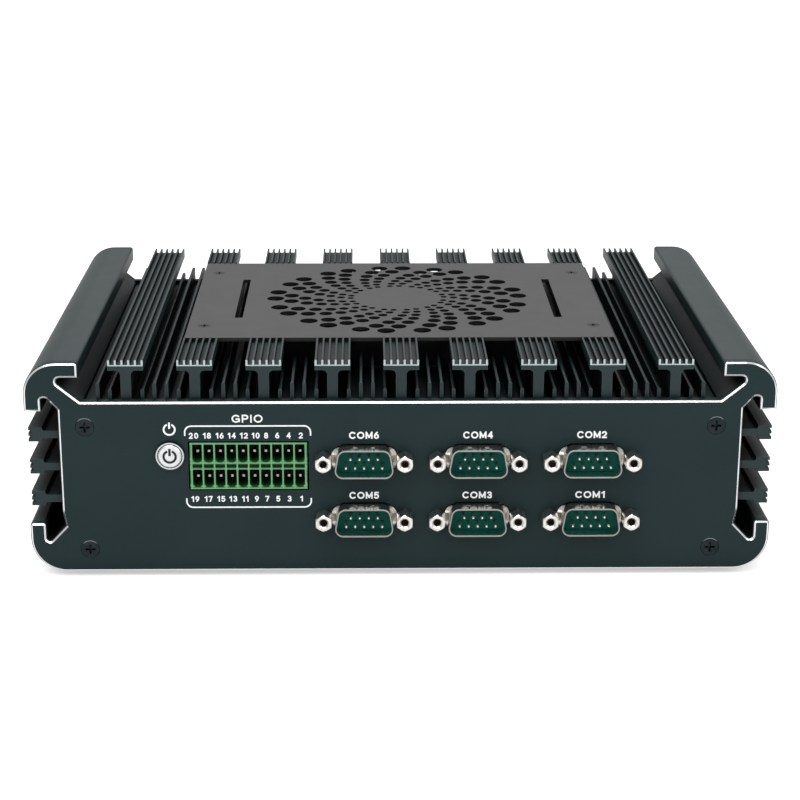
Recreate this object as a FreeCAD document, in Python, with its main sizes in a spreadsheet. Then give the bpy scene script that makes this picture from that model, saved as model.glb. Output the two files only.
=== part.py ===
"""Industrial mini PC: finned aluminium case, top fan, six serial ports, one terminal header.

Frame: +X to the right, +Y to the back, +Z up, millimetres. The origin is the middle of the box
that holds the whole machine, on the surface it stands on. "Level" values are heights above the
lower edge of the end panels, which is one foot height above that surface.
"""
import FreeCAD, Part
import math
import os

from FreeCAD import Rotation, Vector

# ---------------------------------------------------------------- driving dimensions

DIMENSIONS = {
    # case
    "case_width": 230.0,
    "case_depth": 152.0,
    "case_height": 68.0,
    "foot_height": 2.0,
    "foot_radius": 7.0,
    "foot_inset_x": 50.0,
    "foot_inset_y": 26.0,
    "panel_thickness": 3.0,
    "panel_chamfer": 0.7,
    "panel_top": 55.7,
    "fit_gap": 0.3,
    # side rails
    "rail_inset": 10.9,
    "rail_wall": 2.7,
    "panel_overhang": 0.7,
    "hook_radius": 10.0,
    "lip_radius": 11.0,
    "hook_reach": 16.8,
    "hook_slope": 1.216,
    "shoulder_inset": 17.18,
    "hook_thickness": 4.75,
    "hook_lower": 52.5,
    "hook_wall": 5.2,
    "slot_top": 56.8,
    "lip_top": 16.2,
    "lip_wall": 4.9,
    "side_fin_pitch": 10.47,
    "side_fin_first": 23.35,
    "side_fin_stem": 2.4,
    "side_fin_head": 4.6,
    "side_fin_head_depth": 4.2,
    "side_fin_inset": 0.5,
    # heatsink
    "deck_level": 54.3,
    "deck_thickness": 5.0,
    "seam_inset": 18.0,
    "tongue_width": 6.8,
    "tongue_thickness": 2.6,
    "fin_pitch": 21.0,
    "flange_width": 10.8,
    "flange_level": 64.7,
    "flange_thickness": 1.7,
    "rib_width": 0.62,
    "rib_height": 1.5,
    "stem_width": 3.2,
    "stem_fillet": 1.5,
    "thin_fin": 1.1,
    "tall_fin_level": 60.65,
    "short_fin_level": 58.65,
    "tall_fin_offset": 1.85,
    "short_fin_offset": 5.55,
    # fan cover
    "cover_depth": 98.2,
    "cover_thickness": 1.2,
    "fan_y": 2.0,
    "grille_inner": 15.9,
    "grille_outer": 41.4,
    "grille_hole_ratio": 0.07,
    "vent_width": 2.6,
    "vent_length": 50.3,
    "cover_screw_y": 34.8,
    "cover_screw_radius": 1.2,
    # fan
    "fan_size": 80.0,
    "fan_thickness": 10.0,
    "fan_hole_pitch": 71.5,
    "fan_bore": 38.3,
    "fan_pad": 1.2,
    "hub_radius": 16.5,
    "hub_wall": 1.2,
    "rotor_gap": 0.4,
    "bearing_wall": 1.5,
    "magnet_wall": 1.6,
    "blade_tip": 36.4,
    "shaft_radius": 1.0,
    "shaft_clearance": 0.05,
    # front connectors
    "com_x": -11.43,
    "com_level": 17.95,
    "com_pitch_x": 35.0,
    "com_pitch_z": 19.12,
    "jack_spacing": 24.99,
    "jack_hex": 4.8,
    "jack_length": 6.0,
    "jack_bore": 1.15,
    "shell_width": 18.9,
    "shell_height": 9.2,
    "shell_wall": 0.5,
    "shell_reach": 5.6,
    "shell_flange": 0.8,
    "flare_width": 20.0,
    "flare_height": 7.8,
    "flare_reach": 0.7,
    "insulator_reach": 0.7,
    "pin_setback": 0.5,
    "pin_radius": 0.5,
    "gpio_gap": 17.47,
    "gpio_level": 34.95,
    "gpio_end_wall": 0.5,
    "gpio_wall": 0.5,
    "gpio_height": 15.0,
    "gpio_cell_height": 5.9,
    "gpio_pin": 0.7,
    "gpio_pitch": 3.5,
    "gpio_reach": 0.3,
    "gpio_pin_recess": 2.7,
    "button_gap": 6.04,
    "button_level": 38.45,
    "button_radius": 3.65,
    "button_clearance": 0.2,
    "bezel_radius": 4.5,
    "bezel_wall": 0.4,
    # screws and bosses
    "panel_screw_inset": 18.3,
    "panel_screw_top": 47.5,
    "panel_screw_low": 7.45,
    "boss_radius": 3.8,
    "screw_radius": 1.5,
    "screw_head_radius": 2.8,
    # inside
    "bottom_thickness": 1.5,
    "bottom_level": 0.5,
    "bottom_screw_inset": 24.0,
    "bottom_screw_setback": 14.0,
    "bracket_pitch": 75.0,
    "board_width": 170.0,
    "board_depth": 118.0,
    "board_level": 22.4,
    "board_thickness": 1.6,
    "board_gap": 1.0,
    "serial_board_setback": 11.0,
    "rear_port_y": 0.6,
}


class Size:
    """A number from the sheet together with the expression that gives it."""

    def __init__(self, value, text):
        self.value = float(value)
        self.text = text

    def join(self, other, sign, value, swapped=False):
        """Make the sum, difference, product or quotient of two sizes."""
        here = self.text
        there = other.text if isinstance(other, Size) else repr(float(other))
        first, second = (there, here) if swapped else (here, there)
        return Size(value, f"({first} {sign} {second})")

    def __add__(self, other):
        return self.join(other, "+", self.value + float(other))

    def __radd__(self, other):
        return self.join(other, "+", float(other) + self.value, True)

    def __sub__(self, other):
        return self.join(other, "-", self.value - float(other))

    def __rsub__(self, other):
        return self.join(other, "-", float(other) - self.value, True)

    def __mul__(self, other):
        return self.join(other, "*", self.value * float(other))

    def __rmul__(self, other):
        return self.join(other, "*", float(other) * self.value, True)

    def __truediv__(self, other):
        return self.join(other, "/", self.value / float(other))

    def __neg__(self):
        return Size(-self.value, f"(0 - {self.text})")

    def __float__(self):
        return self.value


class Sizes:
    """The driving dimensions by name."""


doc = FreeCAD.newDocument("MiniPC")
sheet = doc.addObject("Spreadsheet::Sheet", "Dims")
d = Sizes()
for row, (name, number) in enumerate(DIMENSIONS.items(), start=1):
    sheet.set(f"A{row}", name)
    sheet.set(f"B{row}", str(number))
    sheet.setAlias(f"B{row}", name)
    setattr(d, name, Size(number, f"Dims.{name}"))
doc.recompute()

# ---------------------------------------------------------------- places used by many pieces

half_width = d.case_width / 2
front = -(d.case_depth / 2)
back = d.case_depth / 2
inner_front = front + d.panel_thickness
inner_back = back - d.panel_thickness
rail_wall_x = half_width - d.rail_inset
rail_inner_x = rail_wall_x - d.rail_wall
panel_wall_x = rail_wall_x + d.panel_overhang
shoulder_x = half_width - d.shoulder_inset
screw_x = half_width - d.panel_screw_inset
deck_half = half_width - d.seam_inset
outer_fins = int(float(deck_half - d.flange_width) // float(d.fin_pitch))
cover_width = d.fin_pitch * 6 + d.flange_width - 0.2
cover_screw_x = d.fin_pitch * 3
vent_x = d.fin_pitch * 2.5
pocket_half = d.fin_pitch * 2 + d.flange_width / 2 + 1.2
deck_top = d.foot_height + d.deck_level
deck_bottom = deck_top - d.deck_thickness
cover_seat = d.foot_height + d.flange_level + d.flange_thickness
fan_bottom = deck_top + d.fan_pad
fan_top = fan_bottom + d.fan_thickness
board_bottom = d.foot_height + d.board_level
board_top = board_bottom + d.board_thickness
board_back = inner_back - d.board_gap
board_front = board_back - d.board_depth
bottom_top = d.foot_height + d.bottom_level + d.bottom_thickness
serial_front = inner_front + d.serial_board_setback
serial_back = serial_front + d.board_thickness
gpio_width = d.gpio_pitch * 10 + d.gpio_end_wall * 2
gpio_x = d.com_x - d.gpio_gap - gpio_width / 2
button_x = gpio_x - gpio_width / 2 - d.button_gap
barrel_radius = d.button_radius + d.button_clearance + d.bezel_wall
hub_roof = fan_top - d.rotor_gap - d.hub_wall
bearing_top = hub_roof - 1.1
com_centres = [
    (number, d.com_x + d.com_pitch_x * column, d.foot_height + d.com_level + d.com_pitch_z * line)
    for number, column, line in ((5, 0, 0), (3, 1, 0), (1, 2, 0), (6, 0, 1), (4, 1, 1), (2, 2, 1))
]
panel_screw_points = [
    (side * screw_x, d.foot_height + level)
    for side in (-1, 1)
    for level in (d.panel_screw_top, d.panel_screw_low)
]
cover_screw_points = [
    (sx * cover_screw_x, d.fan_y + sy * d.cover_screw_y) for sx in (-1, 1) for sy in (-1, 1)
]
fan_screw_points = [
    (sx * d.fan_hole_pitch / 2, d.fan_y + sy * d.fan_hole_pitch / 2) for sx in (-1, 1) for sy in (-1, 1)
]
bottom_screw_points = [
    (sx * (half_width - d.bottom_screw_inset), sy * (d.case_depth / 2 - d.bottom_screw_setback))
    for sx in (-1, 1)
    for sy in (-1, 0, 1)
]
standoff_points = [
    (sx * (d.board_width / 2 - 5.0), sy) for sx in (-1, 1) for sy in (board_front + 5.0, board_back - 22.0)
]

nodes = []

# ---------------------------------------------------------------- document helpers


def bind(obj, prop, size):
    """Bind a property to a size from the sheet, or set a plain number."""
    if isinstance(size, Size):
        obj.setExpression(prop, size.text)
    else:
        obj.setExpression(prop, repr(float(size)))


def place(obj, x, y, z):
    """Bind the three coordinates of an object's placement."""
    bind(obj, "Placement.Base.x", x)
    bind(obj, "Placement.Base.y", y)
    bind(obj, "Placement.Base.z", z)
    return obj


def box(name, low, size):
    """Part box from its low corner and its three sizes."""
    obj = doc.addObject("Part::Box", name)
    bind(obj, "Length", size[0])
    bind(obj, "Width", size[1])
    bind(obj, "Height", size[2])
    return place(obj, *low)


def rod(name, start, radius, length, axis="z"):
    """Part cylinder that starts at a point and runs along +axis."""
    obj = doc.addObject("Part::Cylinder", name)
    bind(obj, "Radius", radius)
    bind(obj, "Height", length)
    turns = {"x": Rotation(Vector(0, 1, 0), 90), "y": Rotation(Vector(1, 0, 0), -90), "z": Rotation()}
    obj.Placement.Rotation = turns[axis]
    return place(obj, *start)


def cut(name, base, tools):
    """Take tools away from a base."""
    tool = tools[0]
    if len(tools) > 1:
        tool = doc.addObject("Part::MultiFuse", name + "_tools")
        tool.Shapes = tools
    obj = doc.addObject("Part::Cut", name)
    obj.Base = base
    obj.Tool = tool
    return obj


def join(name, shapes):
    """Fuse several objects into one solid."""
    obj = doc.addObject("Part::MultiFuse", name)
    obj.Shapes = shapes
    obj.Refine = True
    return obj


def group(name, shapes):
    """Keep several solids together in one node."""
    obj = doc.addObject("Part::Compound", name)
    obj.Links = shapes
    return obj


def shaped(name, shape):
    """A node whose shape is worked out in code from the sheet's values."""
    obj = doc.addObject("Part::Feature", name)
    obj.Shape = shape
    return obj


def node(obj, label):
    """Give an object the label of its node and list it for export."""
    obj.Label = label
    nodes.append(obj)
    return obj


def new_body(name):
    """PartDesign body with its origin planes by role."""
    body = doc.addObject("PartDesign::Body", name)
    planes = {feature.Role: feature for feature in body.Origin.OriginFeatures}
    return body, planes


def new_sketch(body, plane, name, offset=0.0):
    """Sketch on one of the body's origin planes, moved along the plane's normal."""
    sketch = body.newObject("Sketcher::SketchObject", name)
    sketch.AttachmentSupport = [(plane, "")]
    sketch.MapMode = "FlatFace"
    bind(sketch, "AttachmentOffset.Base.z", offset)
    return sketch


def fix(sketch, kind, item, point, size):
    """Tie one sketch point to the sketch's origin by a distance from the sheet."""
    import Sketcher

    number = sketch.addConstraint(Sketcher.Constraint(kind, -1, 1, item, point, float(size)))
    if isinstance(size, Size):
        sketch.setExpression(f"Constraints[{number}]", size.text)


def draw_rectangle(sketch, low, high):
    """Rectangle from its low and high corners."""
    import Sketcher

    x0, y0 = float(low[0]), float(low[1])
    x1, y1 = float(high[0]), float(high[1])
    corners = [Vector(x0, y0, 0), Vector(x1, y0, 0), Vector(x1, y1, 0), Vector(x0, y1, 0)]
    lines = [Part.LineSegment(corners[i], corners[(i + 1) % 4]) for i in range(4)]
    first = sketch.addGeometry(lines, False)[0]
    for i in range(4):
        sketch.addConstraint(Sketcher.Constraint("Coincident", first + i, 2, first + (i + 1) % 4, 1))
    sketch.addConstraint(Sketcher.Constraint("Horizontal", first))
    sketch.addConstraint(Sketcher.Constraint("Vertical", first + 1))
    sketch.addConstraint(Sketcher.Constraint("Horizontal", first + 2))
    sketch.addConstraint(Sketcher.Constraint("Vertical", first + 3))
    fix(sketch, "DistanceX", first, 1, low[0])
    fix(sketch, "DistanceY", first, 1, low[1])
    fix(sketch, "DistanceX", first + 2, 1, high[0])
    fix(sketch, "DistanceY", first + 2, 1, high[1])


def draw_circle(sketch, x, y, radius):
    """Circle from its centre and radius."""
    import Sketcher

    circle = Part.Circle(Vector(float(x), float(y), 0), Vector(0, 0, 1), float(radius))
    item = sketch.addGeometry(circle, False)
    number = sketch.addConstraint(Sketcher.Constraint("Radius", item, float(radius)))
    if isinstance(radius, Size):
        sketch.setExpression(f"Constraints[{number}]", radius.text)
    fix(sketch, "DistanceX", item, 3, x)
    fix(sketch, "DistanceY", item, 3, y)


def pad(body, sketch, name, length):
    """Pad a sketch along its normal."""
    feature = body.newObject("PartDesign::Pad", name)
    feature.Profile = sketch
    bind(feature, "Length", length)
    return feature


def pocket(body, sketch, name, length, reversed_cut=False):
    """Pocket a sketch; the cut runs against the sketch's normal unless it is reversed."""
    feature = body.newObject("PartDesign::Pocket", name)
    feature.Profile = sketch
    feature.Reversed = reversed_cut
    bind(feature, "Length", length)
    return feature


# ---------------------------------------------------------------- shape helpers


def point(x, y, z):
    """Vector from sizes or numbers."""
    return Vector(float(x), float(y), float(z))


def solid_box(x0, x1, y0, y1, z0, z1):
    """Plain box solid between two corners."""
    size = (float(x1) - float(x0), float(y1) - float(y0), float(z1) - float(z0))
    return Part.makeBox(*size, point(x0, y0, z0))


def solid_rod(x, y, z, radius, length, axis=(0, 0, 1)):
    """Plain cylinder solid."""
    return Part.makeCylinder(float(radius), float(length), point(x, y, z), Vector(*axis))


def rounded_wire(corners, y):
    """Closed outline in a plane of constant y from (x, z, radius) corners."""
    spots = [Vector(float(x), float(y), float(z)) for x, z, radius in corners]
    radii = [float(radius) for x, z, radius in corners]
    pieces = []
    for i, spot in enumerate(spots):
        to_last = (spots[i - 1] - spot).normalize()
        to_next = (spots[(i + 1) % len(spots)] - spot).normalize()
        if radii[i] == 0:
            pieces.append((spot, None, spot))
            continue
        half = to_last.getAngle(to_next) / 2
        reach = radii[i] / math.tan(half)
        middle = (to_last + to_next).normalize() * (radii[i] / math.sin(half) - radii[i])
        pieces.append((spot + to_last * reach, spot + middle, spot + to_next * reach))
    edges = []
    for i, (start, middle, end) in enumerate(pieces):
        if middle is not None:
            edges.append(Part.Arc(start, middle, end).toShape())
        following = pieces[(i + 1) % len(pieces)][0]
        if (following - end).Length > 1e-6:
            edges.append(Part.makeLine(end, following))
    return Part.Wire(edges)


def prism(corners, y0, y1):
    """Solid between two planes of constant y from (x, z, radius) corners."""
    face = Part.Face(rounded_wire(corners, y0))
    return face.extrude(Vector(0, float(y1) - float(y0), 0))


def d_corners(x, z, width, height, radius, wide_side=1):
    """Corners of a D-shaped outline with 10 degree flanks; wide_side is 1 for up, -1 for down."""
    half_wide = float(width) / 2
    half_slim = half_wide - float(height) * math.tan(math.radians(10))
    wide_z = float(z) + wide_side * float(height) / 2
    slim_z = float(z) - wide_side * float(height) / 2
    return [
        (float(x) - half_wide, wide_z, radius),
        (float(x) - half_slim, slim_z, radius),
        (float(x) + half_slim, slim_z, radius),
        (float(x) + half_wide, wide_z, radius),
    ]


def block_corners(x, z, width, height, radius):
    """Corners of a rounded rectangle."""
    half_w, half_h = float(width) / 2, float(height) / 2
    return [
        (float(x) - half_w, float(z) + half_h, radius),
        (float(x) - half_w, float(z) - half_h, radius),
        (float(x) + half_w, float(z) - half_h, radius),
        (float(x) + half_w, float(z) + half_h, radius),
    ]


def hexagon(x, z, across, y0, y1):
    """Hexagonal prism along y with flats left and right."""
    radius = float(across) / math.sqrt(3)
    corners = [
        (
            float(x) + radius * math.sin(math.radians(60 * k)),
            float(z) + radius * math.cos(math.radians(60 * k)),
            0,
        )
        for k in range(6)
    ]
    return prism(corners, y0, y1)


def flat_screw(radius, head_radius, length):
    """Countersunk screw with a cross recess: head flush at z = 0, shaft down -z."""
    radius, head_radius = float(radius), float(head_radius)
    head_depth = head_radius - radius
    head = Part.makeCone(radius, head_radius, head_depth, Vector(0, 0, -head_depth))
    shaft = Part.makeCylinder(radius, length - head_depth, Vector(0, 0, -length))
    screw = head.fuse(shaft).removeSplitter()
    arm = head_radius * 1.1
    slot = head_radius * 0.24
    depth = head_depth * 0.75
    for turn in (0, 90):
        bar = Part.makeBox(arm, slot, depth + 1, Vector(-arm / 2, -slot / 2, -depth))
        bar.rotate(Vector(), Vector(0, 0, 1), turn)
        screw = screw.cut(bar)
    return screw


def pan_screw(radius, head_radius, head_height, length):
    """Pan-head screw with a cross recess: head on z = 0, shaft down -z."""
    radius, head_radius = float(radius), float(head_radius)
    head = Part.makeCylinder(head_radius, head_height)
    head = head.makeFillet(head_height * 0.6, [head.Edges[0]])
    screw = head.fuse(Part.makeCylinder(radius, length, Vector(0, 0, -length))).removeSplitter()
    arm = head_radius * 1.1
    slot = head_radius * 0.24
    for turn in (0, 90):
        bar = Part.makeBox(arm, slot, head_height, Vector(-arm / 2, -slot / 2, head_height * 0.4))
        bar.rotate(Vector(), Vector(0, 0, 1), turn)
        screw = screw.cut(bar)
    return screw


def copies(shape, places):
    """Compound of one solid set at several places, each (point, direction its head faces)."""
    result = []
    for spot, direction in places:
        item = shape.copy()
        item.Placement = FreeCAD.Placement(spot, Rotation(Vector(0, 0, 1), Vector(*direction)))
        result.append(item)
    return Part.makeCompound(result)


# ---------------------------------------------------------------- end panels and rails


def hook_corners():
    """Right-hand hook, shared by the panels and the rails, from its notch round to its slot."""
    top = d.foot_height + d.case_height
    underside = top - d.hook_thickness
    notch_x = shoulder_x + (d.case_height - d.hook_thickness - d.panel_top) * d.hook_slope
    wall_x = half_width - d.hook_wall
    slot = d.foot_height + d.slot_top
    return [
        (notch_x, underside, 1.2),
        (half_width - d.hook_reach, underside, 0),
        (half_width - d.hook_reach, top, 0.95),
        (half_width, top, d.hook_radius),
        (half_width, d.foot_height + d.hook_lower, 0),
        (wall_x, d.foot_height + d.hook_lower, 0),
        (wall_x, slot, 0.8),
        (wall_x - 1.6, slot, 0.8),
    ]


def lip_corners(wall_x):
    """Right-hand lower lip, from the side wall down, round the notch and out to the bottom."""
    base = d.foot_height
    inner_x = half_width - d.lip_wall
    return [
        (wall_x, base + 19.75, 0),
        (wall_x - 0.85, base + 15.2, 0),
        (inner_x, base + 8.68, 1.0),
        (inner_x, base + d.lip_top, 0.95),
        (half_width, base + d.lip_top, 0.95),
        (half_width, base, d.lip_radius),
    ]


def mirrored(corners):
    """The same corners on the left, in the opposite order."""
    return [(-float(x), z, radius) for x, z, radius in reversed(corners)]


def panel_blank(y_outer, y_inner):
    """End panel with its outer edge chamfered all round."""
    base = d.foot_height
    wall_x = panel_wall_x
    right = [(shoulder_x, base + d.panel_top, 0)]
    right += hook_corners()
    right += [(wall_x, d.foot_height + 53.0, 0)]
    right += lip_corners(wall_x)
    outline = mirrored(right) + right
    low, high = sorted((float(y_outer), float(y_inner)))
    blank = prism(outline, low, high)
    face_y = float(y_outer)
    outer = [
        edge
        for edge in blank.Edges
        if abs(edge.BoundBox.YMin - face_y) < 1e-6 and abs(edge.BoundBox.YMax - face_y) < 1e-6
    ]
    return blank.makeChamfer(float(d.panel_chamfer), outer)


def countersink(x, z, y, direction):
    """Screw clearance hole and cone through a panel; direction is +1 for the front, -1 for the back."""
    radius = float(d.screw_radius) + 0.15
    head = float(d.screw_head_radius) + 0.15
    axis = Vector(0, direction, 0)
    spot = point(x, y, z)
    cone = Part.makeCone(head, radius, head - radius, spot, axis)
    hole = Part.makeCylinder(radius, float(d.panel_thickness), spot, axis)
    return cone.fuse(hole)


def d_window(x, z, y0, y1, wide_side):
    """Cutting tool for the window round a D connector and its flare."""
    gap = 2 * d.fit_gap
    window = prism(d_corners(x, z, d.shell_width + gap, d.shell_height + gap, 2.6, wide_side), y0, y1)
    flare = prism(block_corners(x, z, d.flare_width + gap, d.flare_height + gap, 3.0), y0, y1)
    return window.fuse(flare)


def make_front_panel():
    """Front panel with its six D cutouts, header window, button hole and screw holes."""
    blank = panel_blank(front, inner_front)
    tools = [countersink(x, z, front, 1) for x, z in panel_screw_points]
    for number, x, z in com_centres:
        tools.append(d_window(x, z, front - 1, inner_front + 1, -1))
        for side in (-1, 1):
            tools.append(solid_rod(x + side * d.jack_spacing / 2, front - 1, z, 1.6, 6, (0, 1, 0)))
    gpio_z = d.foot_height + d.gpio_level
    half_w = gpio_width / 2 + d.gpio_wall
    half_h = d.gpio_height / 2 + d.gpio_wall
    low_z, high_z = gpio_z - half_h, gpio_z + half_h
    tools.append(solid_box(gpio_x - half_w, gpio_x + half_w, front - 1, inner_front + 1, low_z, high_z))
    button_z = d.foot_height + d.button_level
    tools.append(solid_rod(button_x, front - 1, button_z, barrel_radius + 0.15, 6, (0, 1, 0)))
    node(shaped("FrontPanel", blank.cut(tools)), "front_panel")


def rail_outline():
    """Right-hand rail section without its screw bosses."""
    base = d.foot_height
    seam = deck_half + d.fit_gap
    ledge = base + d.deck_level - d.tongue_thickness
    ledge_inner = deck_half - d.tongue_width + d.fit_gap
    corners = [(seam, ledge, 0), (seam, base + d.panel_top - 0.5, 0)]
    corners += hook_corners()
    corners += [(rail_wall_x, base + 52.7, 0)]
    for k in (2, 1, 0):
        corners += side_fin_corners(base + d.side_fin_first + d.side_fin_pitch * k)
    corners += lip_corners(rail_wall_x)
    rabbet = screw_x - 0.4
    corners += [
        (rabbet, base, 0),
        (rabbet, bottom_top, 0),
        (half_width - d.bottom_screw_inset - 5.0, bottom_top, 0),
        (half_width - d.bottom_screw_inset - 5.0, bottom_top + 3.0, 0),
        (rail_inner_x, bottom_top + 3.0, 0),
        (rail_inner_x, ledge - 2.2, 0),
        (ledge_inner, ledge - 2.2, 0),
        (ledge_inner, ledge, 0),
    ]
    return corners


def side_fin_corners(z):
    """One T-shaped side fin with a toothed head, walked from its top to its bottom."""
    stem = d.side_fin_stem / 2
    head = d.side_fin_head / 2
    outer = half_width - d.side_fin_inset
    neck = outer - d.side_fin_head_depth
    tooth = d.side_fin_head / 5
    floor_x = outer - 1.0
    return [
        (rail_wall_x, z + stem, 0),
        (neck, z + stem, 0.8),
        (neck, z + head, 0),
        (outer, z + head, 0),
        (outer, z + head - tooth, 0),
        (floor_x, z + head - tooth, 0),
        (floor_x, z + tooth / 2, 0),
        (outer, z + tooth / 2, 0),
        (outer, z - tooth / 2, 0),
        (floor_x, z - tooth / 2, 0),
        (floor_x, z - head + tooth, 0),
        (outer, z - head + tooth, 0),
        (outer, z - head, 0),
        (neck, z - head, 0),
        (neck, z - stem, 0.8),
        (rail_wall_x, z - stem, 0),
    ]


def make_rails():
    """Both side rails: hook, wall, side fins, lip and four screw channels each."""
    rail = prism(rail_outline(), inner_front, inner_back)
    length = inner_back - inner_front
    radius = float(d.boss_radius)
    channels = []
    bores = []
    for level in (d.panel_screw_top, d.panel_screw_low):
        z = d.foot_height + level
        channels.append(solid_rod(screw_x, inner_front, z, radius, length, (0, 1, 0)))
        channels.append(
            solid_box(screw_x, rail_inner_x + 0.5, inner_front, inner_back, z - radius, z + radius)
        )
        bores.append(solid_rod(screw_x, inner_front, z, d.screw_radius, 9.0, (0, 1, 0)))
        bores.append(solid_rod(screw_x, inner_back, z, d.screw_radius, 9.0, (0, -1, 0)))
    for x, y in bottom_screw_points:
        if float(x) > 0:
            bores.append(solid_rod(x, y, bottom_top, d.screw_radius, 3.0))
    rail = rail.fuse(channels).removeSplitter().cut(bores)
    node(shaped("RightRail", rail), "right_side_rail")
    node(shaped("LeftRail", rail.mirror(Vector(), Vector(1, 0, 0))), "left_side_rail")


# ---------------------------------------------------------------- heatsink


def thin_fin_corners(x, level):
    """One thin fin rising from the deck, with a rounded top."""
    half = d.thin_fin / 2
    top = d.foot_height + level
    return [
        (x - half, deck_top, 0),
        (x - half, top, 0.35),
        (x + half, top, 0.35),
        (x + half, deck_top, 0),
    ]


def t_fin_corners(x):
    """One T fin: filleted stem, flange and six ribs."""
    stem = d.stem_width / 2
    wing = d.flange_width / 2
    under = d.foot_height + d.flange_level
    groove_level = under + d.flange_thickness
    rib_level = groove_level + d.rib_height
    groove = (d.flange_width - 6 * d.rib_width) / 5
    corners = [(x - stem, deck_top, 0), (x - stem, under, d.stem_fillet), (x - wing, under, 0)]
    for k in range(6):
        left = x - wing + (d.rib_width + groove) * k
        if k > 0:
            corners.append((left, groove_level, 0))
        corners.append((left, rib_level, 0.12))
        corners.append((left + d.rib_width, rib_level, 0.12))
        if k < 5:
            corners.append((left + d.rib_width, groove_level, 0))
    corners += [(x + wing, under, 0), (x + stem, under, d.stem_fillet), (x + stem, deck_top, 0)]
    return corners


def make_heatsink():
    """Extruded heatsink with a pocket for the fan and a milled seat for the cover."""
    fins = []
    for k in range(-outer_fins, outer_fins + 1):
        fins.append((k * float(d.fin_pitch), t_fin_corners(d.fin_pitch * k)))
    for k in range(-outer_fins, outer_fins):
        middle = d.fin_pitch * k + d.fin_pitch / 2
        for side in (-1, 1):
            for offset, level in (
                (d.tall_fin_offset, d.tall_fin_level),
                (d.short_fin_offset, d.short_fin_level),
            ):
                x = middle + side * offset
                fins.append((float(x), thin_fin_corners(x, level)))
    for side in (-1, 1):
        edge = d.fin_pitch * outer_fins + d.fin_pitch / 2
        for offset, level in (
            (d.short_fin_offset, d.short_fin_level),
            (d.tall_fin_offset, d.tall_fin_level),
        ):
            x = side * (edge - offset)
            fins.append((float(x), thin_fin_corners(x, level)))
    tongue_low = deck_top - d.tongue_thickness
    corners = [
        (-(deck_half - d.tongue_width), deck_bottom, 0),
        (-(deck_half - d.tongue_width), tongue_low, 0),
        (-deck_half, tongue_low, 0),
        (-deck_half, deck_top, 0),
    ]
    for x, fin in sorted(fins, key=lambda item: item[0]):
        corners += fin
    corners += mirrored(corners[:4])
    blank = prism(corners, inner_front, inner_back)
    seat_x = cover_width / 2 + d.fit_gap
    seat_y = d.cover_depth / 2 + d.fit_gap
    pocket_y = d.fan_size / 2 + 1.5
    above = cover_seat + 10
    tools = [
        solid_box(-seat_x, seat_x, d.fan_y - seat_y, d.fan_y + seat_y, cover_seat, above),
        solid_box(-pocket_half, pocket_half, d.fan_y - pocket_y, d.fan_y + pocket_y, deck_top, above),
    ]
    sink = blank.cut(tools)
    pads = [solid_rod(x, y, deck_top - 0.5, 3.6, d.fan_pad + 0.5) for x, y in fan_screw_points]
    sink = sink.fuse(pads)
    holes = [solid_rod(x, y, fan_bottom - 5.0, d.screw_radius, 5.0) for x, y in fan_screw_points]
    holes += [solid_rod(x, y, cover_seat - 7.0, d.cover_screw_radius, 7.0) for x, y in cover_screw_points]
    node(shaped("Heatsink", sink.cut(holes)), "top_heatsink")


# ---------------------------------------------------------------- fan cover


def grille_pair():
    """Two neighbouring arms of the grille as (radius, angle, hole radius), from the rim inwards."""
    ring_steps = [3.3, 3.7, 4.1, 4.45, 4.85, 5.3]
    turn_steps = [3.2, 4.4, 4.1, 5.0, 5.7, 5.7]
    stretch = float(d.grille_outer - d.grille_inner) / sum(ring_steps)
    holes = []
    for start in (3.34, 14.93):
        radius = float(d.grille_inner)
        angle = start + sum(turn_steps)
        for k in range(7):
            holes.append((radius, angle, radius * float(d.grille_hole_ratio)))
            if k < 6:
                radius += ring_steps[k] * stretch
                angle -= turn_steps[k]
    return holes


def make_fan_cover():
    """Fan cover plate: pad, vents, screw holes and the grille as a polar pattern of a pair of arms."""
    body, planes = new_body("FanCover")
    place(body, 0.0, d.fan_y, cover_seat)
    outline = new_sketch(body, planes["XY_Plane"], "CoverOutline")
    half_x, half_y = cover_width / 2, d.cover_depth / 2
    draw_rectangle(outline, (-half_x, -half_y), (half_x, half_y))
    pad(body, outline, "CoverPlate", d.cover_thickness)
    doc.recompute()
    openings = new_sketch(body, planes["XY_Plane"], "CoverOpenings", d.cover_thickness)
    for side in (-1, 1):
        low_x = side * vent_x - d.vent_width / 2
        draw_rectangle(openings, (low_x, -(d.vent_length / 2)), (low_x + d.vent_width, d.vent_length / 2))
        for end in (-1, 1):
            draw_circle(openings, side * cover_screw_x, end * d.cover_screw_y, d.cover_screw_radius + 0.1)
    pocket(body, openings, "CoverVents", d.cover_thickness + 1)
    doc.recompute()
    sinks = new_sketch(body, planes["XY_Plane"], "CoverSinks", d.cover_thickness)
    for side in (-1, 1):
        for end in (-1, 1):
            draw_circle(sinks, side * cover_screw_x, end * d.cover_screw_y, d.cover_screw_radius + 0.95)
    sink = pocket(body, sinks, "CoverSinkCones", 0.85)
    sink.TaperAngle = -45
    doc.recompute()
    arms = new_sketch(body, planes["XY_Plane"], "GrilleArms", d.cover_thickness)
    for radius, angle, hole in grille_pair():
        turn = math.radians(angle)
        draw_circle(arms, radius * math.cos(turn), radius * math.sin(turn), hole)
    grille = pocket(body, arms, "GrillePair", d.cover_thickness + 1)
    doc.recompute()
    pattern = body.newObject("PartDesign::PolarPattern", "Grille")
    pattern.Originals = [grille]
    axis = next(feature for feature in body.Origin.OriginFeatures if feature.Role == "Z_Axis")
    pattern.Axis = (axis, [""])
    pattern.Angle = 360
    pattern.Occurrences = 13
    body.Tip = pattern
    node(body, "fan_cover")


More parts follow.
